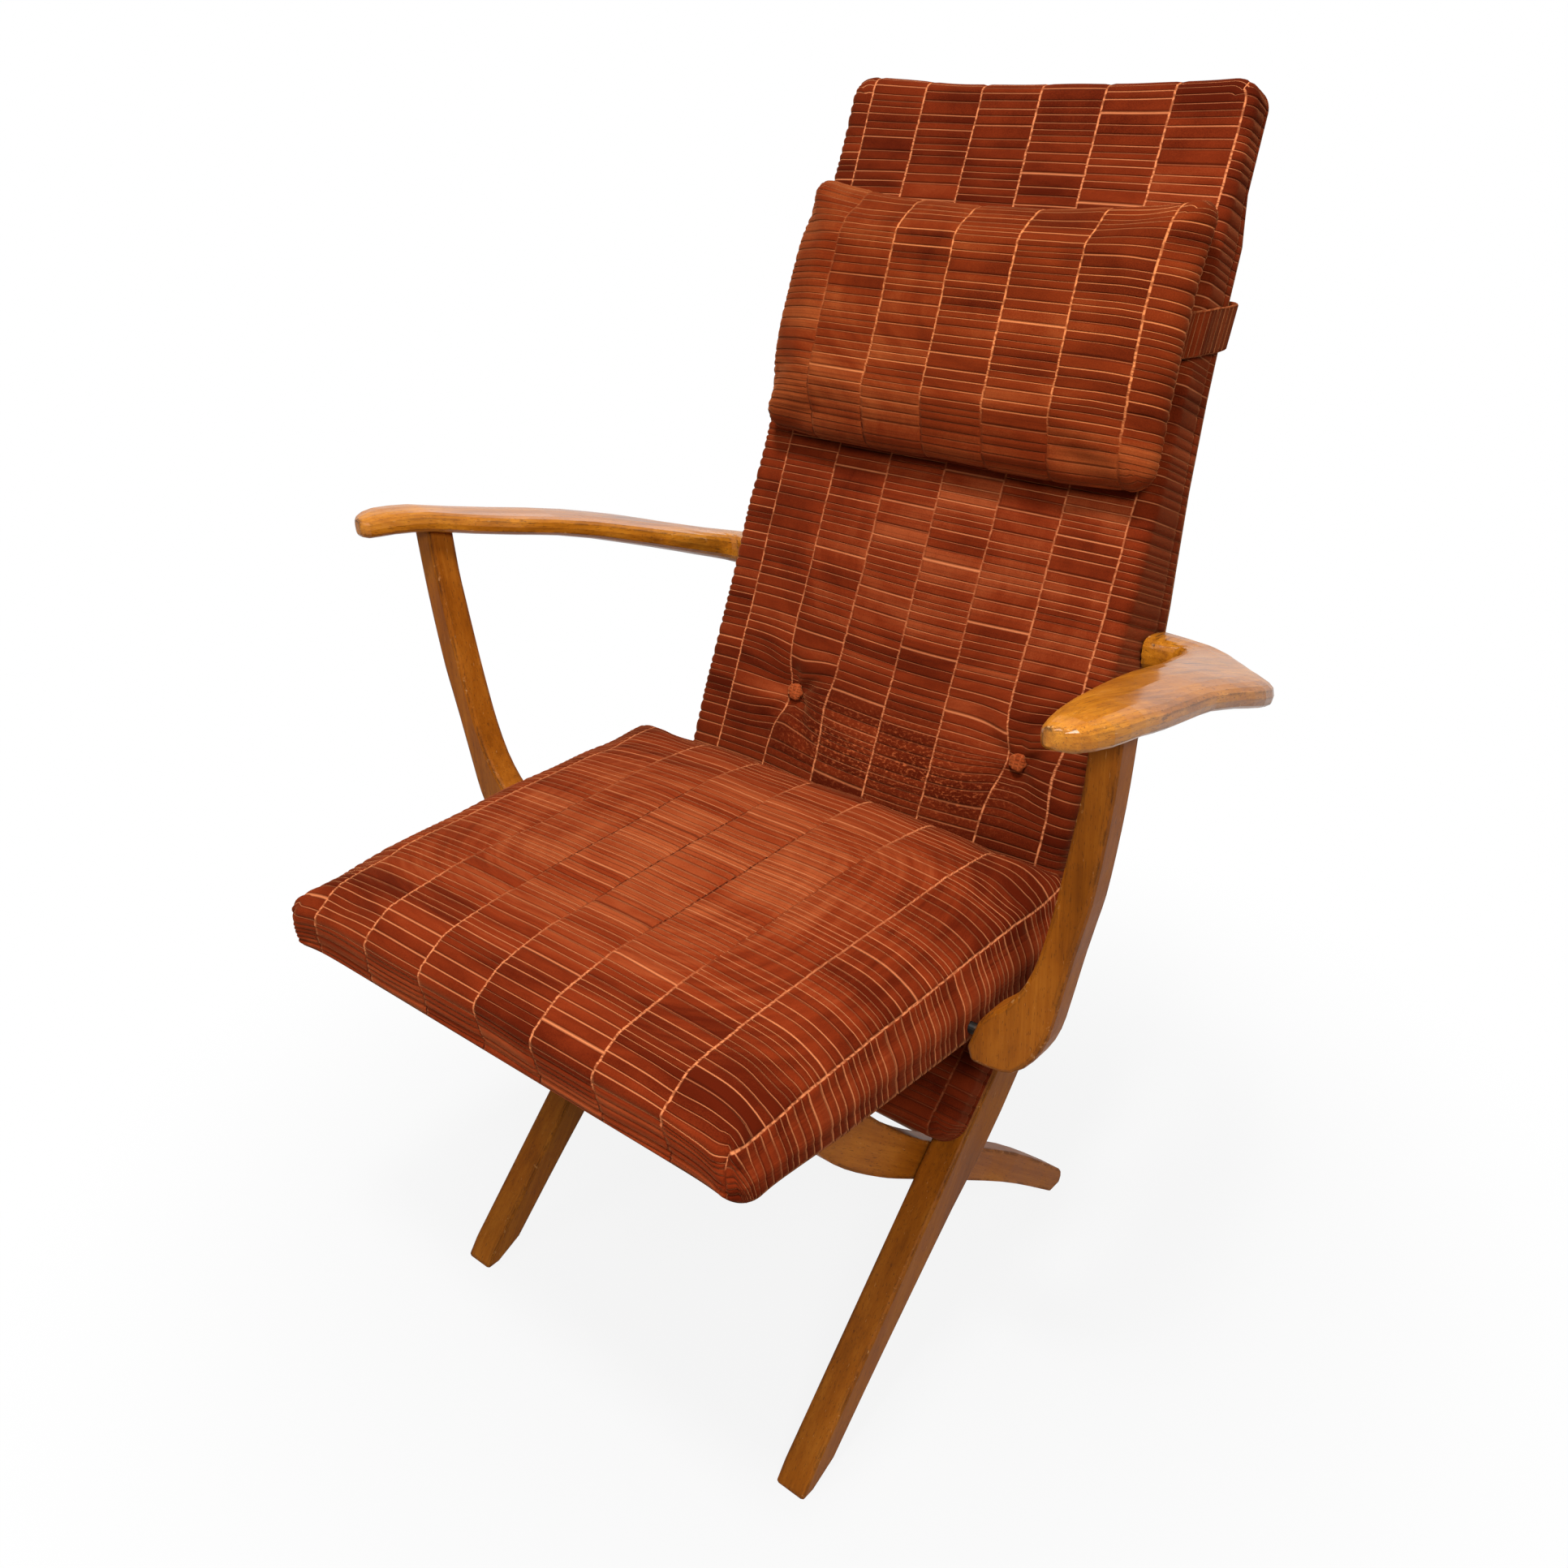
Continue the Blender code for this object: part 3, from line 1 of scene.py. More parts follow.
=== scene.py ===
"""Folding lounge armchair: sewn velvet cushions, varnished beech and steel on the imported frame.

Everything is in metres in the row frame: the chair faces -Y, +Z is up, and +X is the sitter's left.
"""
from math import cos, pi, radians, sin, tan
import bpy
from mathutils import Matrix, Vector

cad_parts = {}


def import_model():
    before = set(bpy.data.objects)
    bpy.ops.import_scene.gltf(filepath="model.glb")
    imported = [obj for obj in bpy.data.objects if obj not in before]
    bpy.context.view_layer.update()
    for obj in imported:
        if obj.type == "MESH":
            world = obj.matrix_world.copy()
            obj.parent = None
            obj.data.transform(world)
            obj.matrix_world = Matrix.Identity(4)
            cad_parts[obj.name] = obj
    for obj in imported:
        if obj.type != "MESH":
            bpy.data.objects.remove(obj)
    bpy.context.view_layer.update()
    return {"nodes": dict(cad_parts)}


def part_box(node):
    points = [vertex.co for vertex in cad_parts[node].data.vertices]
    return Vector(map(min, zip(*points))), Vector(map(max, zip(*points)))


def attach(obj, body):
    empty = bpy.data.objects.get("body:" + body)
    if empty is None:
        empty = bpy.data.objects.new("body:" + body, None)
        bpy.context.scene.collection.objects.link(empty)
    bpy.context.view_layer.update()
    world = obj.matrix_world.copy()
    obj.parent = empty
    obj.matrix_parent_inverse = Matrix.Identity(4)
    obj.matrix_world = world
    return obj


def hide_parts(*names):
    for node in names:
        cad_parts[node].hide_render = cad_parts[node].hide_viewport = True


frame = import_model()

from types import SimpleNamespace

import bpy
import numpy as np
from mathutils import Matrix, Vector

nodes = frame["nodes"]

# Layout, as in the part's source: Y runs from the front feet there, and Z from their level
SEAT_FRONT, SEAT_REAR, SEAT_TOP, SEAT_HALF = -0.097, 0.353, 0.470, 0.262
SEAT_CROWN, SEAT_WEB = 0.016, 0.4384  # fullness, and height of the filling's underside
SHIFT_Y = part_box("seat_pad")[0].y - SEAT_FRONT
SHIFT_Z = 0.0055
BACK_ANGLE, LEG_ANGLE = radians(65.6), radians(44.8)
LEG_START, HEEL_Y = -0.0135, 0.366
SLAB, STANDOFF, CROWN, COVER = 0.034, 0.0022, 0.007, 0.0067
BACK_HALF, BACK_TAPER, TAPER_START, BACK_LENGTH = 0.226, 0.032, 0.235, 0.672
COVER_END, RAIL_END = 0.326, 0.110  # up the leg from its start, and down from the cushion's top
BUTTON_MIDDLE, BUTTON_APART, BUTTON_UP = 0.026, 0.132, 0.064
BEND_RADIUS = 0.12
PILLOW_HALF, PILLOW_SHIFT, PILLOW_HEIGHT, PILLOW_THICK, PILLOW_UP = 0.209, 0.010, 0.246, 0.050, 0.439
PILLOW_BASE = 0.0004

along_back = np.array((cos(BACK_ANGLE), sin(BACK_ANGLE)))
along_leg = np.array((cos(LEG_ANGLE), sin(LEG_ANGLE)))
behind_back = np.array((sin(BACK_ANGLE), -cos(BACK_ANGLE)))
behind_leg = np.array((sin(LEG_ANGLE), -cos(LEG_ANGLE)))
leg_start = np.array((LEG_START + SHIFT_Y, SHIFT_Z))
heel = np.array((HEEL_Y + SHIFT_Y, SEAT_TOP + SHIFT_Z))
rail_line = heel + behind_back * (SLAB + STANDOFF) - leg_start
bend_distance = (rail_line[0] * along_back[1] - rail_line[1] * along_back[0]) / (
    along_leg[0] * along_back[1] - along_leg[1] * along_back[0])
bend = leg_start + along_leg * bend_distance
HEEL = float(np.dot(rail_line + leg_start - bend, along_back))
TANGENT = BEND_RADIUS * tan((BACK_ANGLE - LEG_ANGLE) / 2)
BACK_LOW, BACK_TOP = COVER_END - bend_distance, HEEL + BACK_LENGTH
RAIL_TOP = BACK_TOP - RAIL_END
BUTTONS = [(BUTTON_MIDDLE + side * BUTTON_APART, HEEL + BUTTON_UP) for side in (-1, 1)]
PILLOW_MIDDLE = HEEL + PILLOW_UP
# How far the rails reach behind the cover, by their height
RAIL_DEPTHS = ([HEEL + up for up in (-0.037, 0.073, 0.19, 0.263, 0.333, 0.413, 0.473)] + [RAIL_TOP],
               [0.056, 0.061, 0.059, 0.043, 0.029, 0.019, 0.0145, 0.012])


def back_spot(x, s, depth):
    """Points from the backrest's own coordinates: across, up from the bend, forward of the rails."""
    x, s, depth = np.broadcast_arrays(x, s, depth)
    turn = LEG_ANGLE + (BACK_ANGLE - LEG_ANGLE) * np.clip((s + TANGENT) / (2 * TANGENT), 0, 1)
    forward = np.stack((-np.sin(turn), np.cos(turn)), -1)
    centre = bend - along_leg * TANGENT - behind_leg * BEND_RADIUS
    spot = centre - forward * BEND_RADIUS + forward * depth[..., None]
    spot = spot + along_back * np.maximum(s - TANGENT, 0)[..., None]
    spot = spot - along_leg * np.maximum(-TANGENT - s, 0)[..., None]
    return np.stack((x, spot[..., 0], spot[..., 1]), -1)


def smooth(low, high, value):
    """0 below low, 1 above high, and a smooth rise between them."""
    t = np.clip((value - low) / (high - low), 0, 1)
    return t * t * (3 - 2 * t)


def bell(value, wide):
    return np.exp(-(value / wide) ** 2)


def split(local):
    """Local points as places across, places along and depths."""
    return np.moveaxis(local, -1, 0)


def put(name, data):
    """Make an object of a mesh, lamp or camera and put it in the scene."""
    made = bpy.data.objects.new(name, data)
    bpy.context.scene.collection.objects.link(made)
    return made


def mark(mesh, name, values):
    """Give each point of a mesh a number or a vector, for the materials to read."""
    values = np.array(values, float)
    kind, field = ("FLOAT_VECTOR", "vector") if values.ndim == 2 else ("FLOAT", "value")
    mesh.attributes.new(name, kind, "POINT").data.foreach_set(field, values.ravel())


# Node helpers
def feed(tree, node, inputs):
    """Set a node's inputs to numbers or colours, or link them to sockets."""
    for key, value in inputs.items():
        if isinstance(value, bpy.types.NodeSocket):
            tree.links.new(value, node.inputs[key])
        else:
            node.inputs[key].default_value = value


def add(tree, kind, inputs=None, **settings):
    """Add a shader node, with its settings and its inputs."""
    made = tree.nodes.new("ShaderNode" + kind)
    for key, value in settings.items():
        setattr(made, key, value)
    feed(tree, made, inputs or {})
    return made


def calc(tree, operation, *values, clamp=False):
    """One Math node."""
    return add(tree, "Math", dict(enumerate(values)), operation=operation, use_clamp=clamp).outputs[0]


def times(tree, first, second, clamp=False):
    return calc(tree, "MULTIPLY", first, second, clamp=clamp)


def minus(tree, first, second, clamp=False):
    return calc(tree, "SUBTRACT", first, second, clamp=clamp)


def linear(tree, value, slope, start):
    """Value times slope, plus start."""
    return calc(tree, "MULTIPLY_ADD", value, slope, start)


def ease(tree, value, low, high, start=0.0, end=1.0):
    """Smooth step of a value from low..high to start..end."""
    inputs = {"Value": value, "From Min": low, "From Max": high, "To Min": start, "To Max": end}
    return add(tree, "MapRange", inputs, interpolation_type="SMOOTHSTEP").outputs["Result"]


def ramp(tree, value, stops):
    """Colour ramp from (place, (r, g, b)) stops."""
    made = add(tree, "ValToRGB", {"Fac": value})
    for k, (place, colour) in enumerate(stops):
        stop = made.color_ramp.elements[k] if k < 2 else made.color_ramp.elements.new(place)
        stop.position = place
        stop.color = (*colour, 1.0)
    return made.outputs["Color"]


def mix(tree, share, first, second):
    """Colour mix."""
    first, second = ((*value, 1.0) if isinstance(value, tuple) else value for value in (first, second))
    return add(tree, "Mix", {0: share, 6: first, 7: second}, data_type="RGBA").outputs[2]


def combine(tree, x, y, z=0.0):
    return add(tree, "CombineXYZ", {"X": x, "Y": y, "Z": z}).outputs[0]


def dot(tree, first, second):
    return add(tree, "VectorMath", {0: first, 1: second}, operation="DOT_PRODUCT").outputs["Value"]


def noise(tree, place, scale, detail=3.0, roughness=0.5):
    inputs = {"Vector": place, "Scale": scale, "Detail": detail, "Roughness": roughness}
    return add(tree, "TexNoise", inputs).outputs["Fac"]


def bands(tree, place, scale, distortion, direction="X"):
    """Parallel bands, for woven threads."""
    inputs = {"Vector": place, "Scale": scale, "Distortion": distortion}
    return add(tree, "TexWave", inputs, wave_type="BANDS", bands_direction=direction).outputs["Fac"]


def bump(tree, height, strength, distance, normal=None):
    inputs = {"Height": height, "Strength": strength, "Distance": distance}
    if normal is not None:
        inputs["Normal"] = normal
    return add(tree, "Bump", inputs).outputs["Normal"]


def new_material(name):
    """A material with its tree and Principled shader."""
    made = bpy.data.materials.new(name)
    made.use_nodes = True
    return made, made.node_tree, made.node_tree.nodes["Principled BSDF"]


# Ribbed velvet: columns of irregular ribs. The same sums give the relief and the colours
RIB_WAVES = ((0.50, 70.0, 2.399), (0.13, 230.0, 4.1))
CREASE_DEEP, CREASE_WIDE, SEAM_DEEP, SEAM_WIDE = 0.0008, 0.0024, 0.0012, 0.0042
EDGE_ROLL = 0.0021


def rib_relief(across, along, edge, pitch, first, rib):
    """Depth of the creases between ribs, which are rolled at the edges, and of the column lines."""
    place = (across - first) / pitch
    column = np.floor(place)
    turn = along / rib
    slope = np.full_like(turn, 1 / rib)
    for size, speed, shift in RIB_WAVES:
        turn = turn + size * np.sin(along * speed + shift * column)
        slope = slope + size * speed * np.cos(along * speed + shift * column)
    part = turn - np.floor(turn)
    away = np.minimum(part, 1 - part) / slope
    beside = np.minimum(place - column, column + 1 - place) * pitch
    crease = CREASE_DEEP * (1 - smooth(0.0, CREASE_WIDE, away)) * (1 - edge)
    crease = crease + EDGE_ROLL * edge * (1 - np.sqrt(np.sin(pi * part)))
    return np.maximum(crease, SEAM_DEEP * (1 - smooth(0.0, SEAM_WIDE, beside)))


def velvet(name, pitch, first, rib, dark, mid, lit, line, line_share=1.0):
    """Cut velvet with irregular cross ribs in columns, drawn from the cloth's own coordinates."""
    material, tree, shader = new_material(name)
    sheet = add(tree, "Attribute", attribute_name="sheet").outputs["Vector"]
    # The line tone sets how pale the crease lines are; its low and negative values paint shade in the grooves
    bright, crushed = (add(tree, "Attribute", attribute_name=key).outputs["Fac"]
                       for key in ("bright", "crushed"))
    # The sheet's third value is wear, and where it is low it is partly painted shade
    across, along, wear = add(tree, "SeparateXYZ", {"Vector": sheet}).outputs
    worn = times(tree, wear, 1.0, clamp=True)

    # Place in the columns and in their ribs
    across = linear(tree, noise(tree, sheet, 38.0, 2.0), 0.0022, minus(tree, across, 0.0011))
    place = calc(tree, "DIVIDE", minus(tree, across, first), pitch)
    column = calc(tree, "FLOOR", place)
    turn = calc(tree, "DIVIDE", along, rib)
    for size, speed, shift in RIB_WAVES:
        wave = calc(tree, "SINE", linear(tree, along, speed, times(tree, column, shift)))
        turn = linear(tree, wave, size, turn)
    away = calc(tree, "PINGPONG", turn, 0.5)
    beside = times(tree, calc(tree, "PINGPONG", place, 0.5), pitch)

    def dice(row):
        """A random number for each row of each column."""
        cell = {"Vector": combine(tree, column, row)}
        return add(tree, "TexWhiteNoise", cell, noise_dimensions="2D").outputs["Value"]

    rib_dice, line_dice = dice(calc(tree, "FLOOR", turn)), dice(calc(tree, "ROUND", turn))

    # Lines of the creases and seams: pale where the line tone is high, and dark, as painted shade in the
    # grooves, where it is low or the pile is worn
    crease = calc(tree, "DIVIDE", away, linear(tree, line_dice, 0.075, 0.035))
    crease = minus(tree, 1.0, crease, clamp=True)
    crease = times(tree, crease, linear(tree, line_dice, 0.70, 0.35), clamp=True)
    dashes = ease(tree, noise(tree, sheet, 210.0, 1.0), 0.40, 0.58, 0.35, 1.0)
    seam = times(tree, ease(tree, beside, 0.0004, 0.0014, 1.0, 0.0), dashes)
    for_crease = linear(tree, noise(tree, sheet, 24.0, 3.0), 0.8, minus(tree, bright, 0.40))
    for_seam = minus(tree, for_crease, times(tree, wear, 1.55))

    def lines(crease_share, seam_share):
        """Strength of the creases and seams, where the brightness has the sign of the shares."""
        return calc(tree, "MAXIMUM", times(tree, crease, times(tree, for_crease, crease_share, clamp=True)),
                    times(tree, seam, times(tree, for_seam, seam_share, clamp=True)))

    pale_lines, groove_shade = lines(line_share, line_share), lines(-1.0, -2.0)

    # Painted shade beside the creases, and fine dark lines of painted crease shade between them in worn cloth
    shade = times(tree, ease(tree, away, 0.05, 0.18, 0.50, 0.0), linear(tree, worn, 0.5, 1.0))
    middle = calc(tree, "ABSOLUTE", minus(tree, away, linear(tree, line_dice, 0.20, 0.28)))
    between = times(tree, worn, ease(tree, line_dice, 0.25, 0.7, 0.0, 0.75))
    between = times(tree, ease(tree, middle, 0.02, 0.07, 1.0, 0.0), between)
    shade = times(tree, calc(tree, "MAXIMUM", shade, between), minus(tree, 1.0, crease, clamp=True))
    shade = calc(tree, "MAXIMUM", groove_shade, shade)

    # Tone of the pile: by rib, by patch, by fibre and by wear, which in places is painted shade, with crushed
    # specks
    patch = combine(tree, times(tree, column, 3.7), times(tree, turn, 0.21))
    pile = noise(tree, sheet, 900.0, 4.0, 0.6)
    tone = linear(tree, rib_dice, 0.14, times(tree, noise(tree, sheet, 13.0, 5.0, 0.6), 0.60))
    tone = linear(tree, noise(tree, patch, 1.0, 2.0), 0.62, minus(tree, tone, 0.24))
    tone = linear(tree, pile, 0.40, minus(tree, tone, 0.16))
    tone = linear(tree, wear, 0.30, tone)
    colour = ramp(tree, tone, ((0.28, dark), (0.56, mid), (0.92, lit)))
    colour = mix(tree, shade, colour, SHADED)
    flat = add(tree, "VectorMath", {0: sheet, 1: (0.5, 1.0, 0.0)}, operation="MULTIPLY").outputs[0]
    specks = ease(tree, noise(tree, flat, 430.0, 4.0, 0.7), 0.50, 0.68)
    colour = mix(tree, times(tree, specks, crushed, clamp=True), colour, lit)
    colour = mix(tree, pale_lines, colour, line)
    relief = times(tree, ease(tree, away, 0.0, 0.17), ease(tree, beside, 0.0, 0.003))
    relief = bump(tree, pile, 0.22, 0.0006, bump(tree, relief, 0.75, 0.0011))
    feed(tree, shader, {"Base Color": colour, "Roughness": 0.92, "Specular IOR Level": 0.05,
                        "Sheen Weight": 0.30, "Sheen Roughness": 0.35, "Sheen Tint": SHEEN, "Normal": relief})
    return material


TONES = DARK, MID, LIT, LINE = ((0.088, 0.0075, 0.0008), (0.215, 0.0255, 0.0045), (0.40, 0.086, 0.024),
                                (0.68, 0.215, 0.080))
SHADED, SHEEN, BUTTON_MID = (0.045, 0.0048, 0.0012), (1.0, 0.36, 0.13, 1.0), (0.33, 0.064, 0.015)
# The back, the pillow and its band take darker copies of the seat's tones: painted shade for their steeper
# faces
PILLOW_SHADE_SHARES = ((0.74, 0.80, 0.7), (0.77, 0.82, 0.7), (0.80, 0.85, 0.7), (0.92, 0.92, 0.8))
BACK_SHADED_TONES = [tuple(share * c for c in tone) for share, tone in zip((0.74, 0.78, 0.85, 0.90), TONES)]
PILLOW_SHADED_TONES = [tuple(a * c for a, c in zip(share, tone)) for share, tone in zip(PILLOW_SHADE_SHARES, TONES)]
# Width of the columns, one of their seams, and height of the ribs
SEAT_CLOTH = (0.069, -0.014, 0.0082)
BACK_CLOTH = (0.0648, 0.011, 0.0085)
PILLOW_CLOTH = (0.0648, -0.012, 0.0078)
BAND_CLOTH = (0.0395, 0.0195, 0.0065)
BUTTON_CLOTH = (0.0070, 0.0, 0.0042)
velvet_seat = velvet("velvet_seat", *SEAT_CLOTH, DARK, MID, LIT, LINE, 0.95)
velvet_back = velvet("velvet_back", *BACK_CLOTH, *BACK_SHADED_TONES, 0.85)
velvet_pillow = velvet("velvet_pillow", *PILLOW_CLOTH, *PILLOW_SHADED_TONES)
velvet_band = velvet("velvet_band", *BAND_CLOTH, *PILLOW_SHADED_TONES, 0.8)
velvet_button = velvet("velvet_button", *BUTTON_CLOTH, MID, BUTTON_MID, LIT, LIT, 0.8)


def lining_material():
    """Plain brown backing cloth on the hidden sides of the cushions."""
    material, tree, shader = new_material("lining_cloth")
    place = add(tree, "TexCoord").outputs["Object"]
    weave = times(tree, bands(tree, place, 420.0, 0.6), bands(tree, place, 420.0, 0.6, "Z"))
    tone = linear(tree, noise(tree, place, 30.0, 4.0), 0.7, times(tree, weave, 0.4))
    colour = ramp(tree, tone, ((0.2, (0.044, 0.017, 0.007)), (0.8, (0.120, 0.048, 0.020))))
    feed(tree, shader, {"Base Color": colour, "Roughness": 0.95, "Specular IOR Level": 0.1,
                        "Normal": bump(tree, weave, 0.5, 0.0004)})
    return material


BEECH = ((0.200, 0.046, 0.0030), (0.420, 0.116, 0.0070), (0.620, 0.205, 0.0190))
FLECK, RUBBED, GRIME = (0.075, 0.024, 0.005), (0.042, 0.015, 0.005), (0.090, 0.024, 0.003)
CRACK, DENT, BARE = (0.028, 0.011, 0.004), (0.030, 0.012, 0.005), (0.66, 0.36, 0.14)


def wood(name, grain, tone, gloss, wear=1.0, spread=0.27, tint=(1.0, 1.0, 1.0)):
    """Varnished beech with its grain along a direction, dark flecks, rubbed edges, dents and scratches."""
    material, tree, shader = new_material(name)
    grain = Vector(grain).normalized()
    side = grain.orthogonal().normalized()
    place = add(tree, "TexCoord").outputs["Object"]
    axes = [dot(tree, place, axis) for axis in (grain, side, grain.cross(side))]

    def grained(lengthways, sideways, detail, roughness=0.5):
        """Noise that is drawn out along the grain."""
        scaled = (times(tree, axis, scale) for axis, scale in zip(axes, (lengthways, sideways, sideways)))
        return noise(tree, combine(tree, *scaled), 1.0, detail, roughness)

    blotches, fibres = noise(tree, place, 11.0, 4.0, 0.6), grained(26.0, 900.0, 3.0, 0.6)
    value = linear(tree, grained(3.0, 52.0, 5.0, 0.6), 0.50, times(tree, blotches, 0.50))
    value = linear(tree, grained(9.0, 240.0, 4.0, 0.65), 0.34, minus(tree, value, 0.17))
    value = linear(tree, fibres, 0.16, minus(tree, value, 0.08))
    shades = [tuple(tone * a * c for a, c in zip(tint, shade)) for shade in BEECH]
    colour = ramp(tree, value, [(0.49 + k * spread, shade) for k, shade in zip((-1, 0, 1), shades)])

    rounded = add(tree, "Bevel", {"Radius": 0.006}, samples=6).outputs["Normal"]
    by_edge = ease(tree, dot(tree, add(tree, "NewGeometry").outputs["Normal"], rounded), 0.998, 0.94)
    flecks = ease(tree, grained(150.0, 1100.0, 1.0), 0.63, 0.71)
    worn = times(tree, by_edge, ease(tree, grained(34.0, 90.0, 5.0, 0.7), 0.42, 0.56))
    grime = ease(tree, grained(7.0, 34.0, 6.0, 0.7), 0.60 - 0.06 * wear, 0.72)
    stains = [(flecks, 0.60, FLECK), (worn, 0.85, RUBBED), (grime, 0.28 + 0.6 * (wear - 1.0), GRIME)]
    if wear > 1.0:
        cracks = ease(tree, grained(5.0, 230.0, 4.0, 0.65), 0.575, 0.66)
        stains.append((times(tree, cracks, ease(tree, grained(4.0, 18.0, 2.0), 0.50, 0.62)), 0.75, CRACK))
    dents = ease(tree, noise(tree, place, 260.0, 2.0, 0.6), 0.69, 0.73)
    dents = times(tree, dents, linear(tree, by_edge, 0.7, 0.3))
    scratched = times(tree, ease(tree, grained(60.0, 620.0, 2.0, 0.8), 0.70, 0.75), 0.45)
    bare = times(tree, by_edge, ease(tree, noise(tree, place, 120.0, 3.0, 0.7), 0.62, 0.68))
    stains += [(dents, 0.85, DENT), (calc(tree, "MAXIMUM", scratched, times(tree, bare, 0.7)), 1.0, BARE)]
    for mask, strength, stain in stains:
        colour = mix(tree, times(tree, mask, strength, clamp=True), colour, stain)

    rough = linear(tree, worn, 0.2, linear(tree, blotches, 0.34, 0.30))
    relief = linear(tree, dents, -2.0, linear(tree, fibres, 0.4, times(tree, flecks, -0.5)))
    relief = bump(tree, noise(tree, place, 30.0, 3.0), 0.16, 0.004, bump(tree, relief, 0.20, 0.0006))
    feed(tree, shader, {"Base Color": colour, "Roughness": rough, "Specular IOR Level": 0.08,
                        "Coat Weight": gloss, "Coat Roughness": 0.16, "Normal": relief})
    return material


def metal(name, colour, low, high, spots):
    """Worn metal: uneven roughness and dull spots."""
    material, tree, shader = new_material(name)
    place = add(tree, "TexCoord").outputs["Object"]
    cloud = noise(tree, place, 140.0, 5.0, 0.7)
    stain = times(tree, ease(tree, noise(tree, place, 320.0, 3.0), 0.55, 0.68), 0.7)
    feed(tree, shader, {"Base Color": mix(tree, stain, colour, spots), "Metallic": 1.0,
                        "Roughness": linear(tree, cloud, high - low, low),
                        "Normal": bump(tree, cloud, 0.12, 0.0004)})
    return material


def rubber_webbing():
    """Woven elastic webbing with a ribbed face."""
    material, tree, shader = new_material("elastic_webbing")
    place = add(tree, "TexCoord").outputs["Object"]
    weave = calc(tree, "MAXIMUM", bands(tree, place, 150.0, 0.3, "DIAGONAL"), bands(tree, place, 95.0, 0.2))
    tone = linear(tree, weave, 0.5, times(tree, noise(tree, place, 45.0, 4.0), 0.5))
    browns = ((0.2, (0.040, 0.025, 0.015)), (0.6, (0.125, 0.078, 0.044)), (0.9, (0.23, 0.15, 0.085)))
    feed(tree, shader, {"Base Color": ramp(tree, tone, browns), "Roughness": 0.82,
                        "Specular IOR Level": 0.2, "Normal": bump(tree, weave, 0.6, 0.0006)})
    return material


lining = lining_material()


# Cushions: a fine front sheet folded over an edge, loops round its rim and a coarse grid behind
ARC_STEPS = 6
TINY = 1e-9


def edge_path(corner, fillet, wall, step):
    """Distances beyond the flat face: over the rounding and down the wall."""
    flat = list(np.linspace(0, corner - fillet, max(2, int((corner - fillet) / step) + 1))[1:])
    turn = fillet * pi / 2
    arc = [corner - fillet + turn * k / ARC_STEPS for k in range(1, ARC_STEPS + 1)]
    count = max(2, int(round(wall / step)))
    return flat + arc + [arc[-1] + wall * k / count for k in range(1, count + 1)]


def params(low, high, step, edge):
    """Places along one side of the sheet: inner coordinate and signed distance beyond it."""
    count = max(2, int(round((high - low) / step)))
    inner = list(np.linspace(low, high, count + 1))
    places = [(low, -e) for e in reversed(edge)] + [(p, 0.0) for p in inner] + [(high, e) for e in edge]
    return np.array(places)


def folded(shares, rows, spec):
    """Local points (across, along, depth) of a sheet folded over a slab's rounded edge."""
    share, beyond_x = shares[None, :, 0], shares[None, :, 1]
    along, beyond_s = rows[:, None, 0], rows[:, None, 1]
    x_in = share * (spec.half_of(along) - spec.corner)
    reach = np.maximum(np.abs(beyond_x), np.abs(beyond_s))
    length = np.maximum(np.hypot(beyond_x, beyond_s), TINY)
    fillet = spec.fillet
    flat = spec.corner - fillet
    angle = np.clip((reach - flat) / fillet, 0, pi / 2)
    out = np.minimum(reach, flat) + fillet * np.sin(angle)
    drop = fillet * (1 - np.cos(angle))
    down = np.clip((reach - flat - fillet * pi / 2) / spec.end_wall, 0, 1)
    x = x_in + beyond_x / length * out
    s = along + beyond_s / length * out
    depth = (spec.face(x, s) - drop) * (1 - down) + spec.rim(x, s) * down
    return np.stack(np.broadcast_arrays(x, s, depth), -1), x_in + beyond_x, along + beyond_s, reach, down


def rim_of(shape, rows, cols):
    """The places round a grid, and the numbers of those that the grid behind shares."""
    nb, na = shape
    rim = [(0, j) for j in range(na)] + [(i, na - 1) for i in range(1, nb)]
    rim += [(nb - 1, j) for j in range(na - 2, -1, -1)] + [(i, 0) for i in range(nb - 2, 0, -1)]
    return rim, [k for k, (i, j) in enumerate(rim) if i in rows and j in cols]


def quads(a, b, c, d):
    """Faces from four grids of vertex numbers."""
    return [tuple(face) for face in np.stack((a, b, c, d), -1).reshape(-1, 4).tolist()]


def shell(front, loops, inner, rows, cols):
    """Vertices and faces of a closed cushion from its front grid, rim loops and rear grid."""
    nb, na = front.shape[:2]
    index = np.arange(nb * na).reshape(nb, na)
    faces = quads(index[:-1, :-1], index[:-1, 1:], index[1:, 1:], index[1:, :-1])
    front_faces = len(faces)
    rim, kept = rim_of((nb, na), rows, cols)
    count = len(kept)
    starts = [nb * na + count * k for k in range(len(loops))]
    for k in range(count):
        m = (k + 1) % count
        stop = kept[m] if m else len(rim)
        run = [index[rim[p % len(rim)]] for p in range(kept[k], stop + 1)]
        faces.append(tuple(int(v) for v in reversed(run)) + (starts[0] + k, starts[0] + m))
        for near, far in zip(starts, starts[1:]):
            faces.append((near + m, near + k, far + k, far + m))
    rear = np.zeros((len(rows), len(cols)), int)
    row_at, col_at = {i: r for r, i in enumerate(rows)}, {j: c for c, j in enumerate(cols)}
    for k, p in enumerate(kept):
        i, j = rim[p]
        rear[row_at[i], col_at[j]] = starts[-1] + k
    inner_start, inner_shape = starts[-1] + count, (len(rows) - 2, len(cols) - 2)
    rear[1:-1, 1:-1] = inner_start + np.arange(inner_shape[0] * inner_shape[1]).reshape(inner_shape)
    faces += quads(rear[:-1, :-1], rear[1:, :-1], rear[1:, 1:], rear[:-1, 1:])
    return np.concatenate([front.reshape(-1, 3), *loops, inner.reshape(-1, 3)]), faces, front_faces


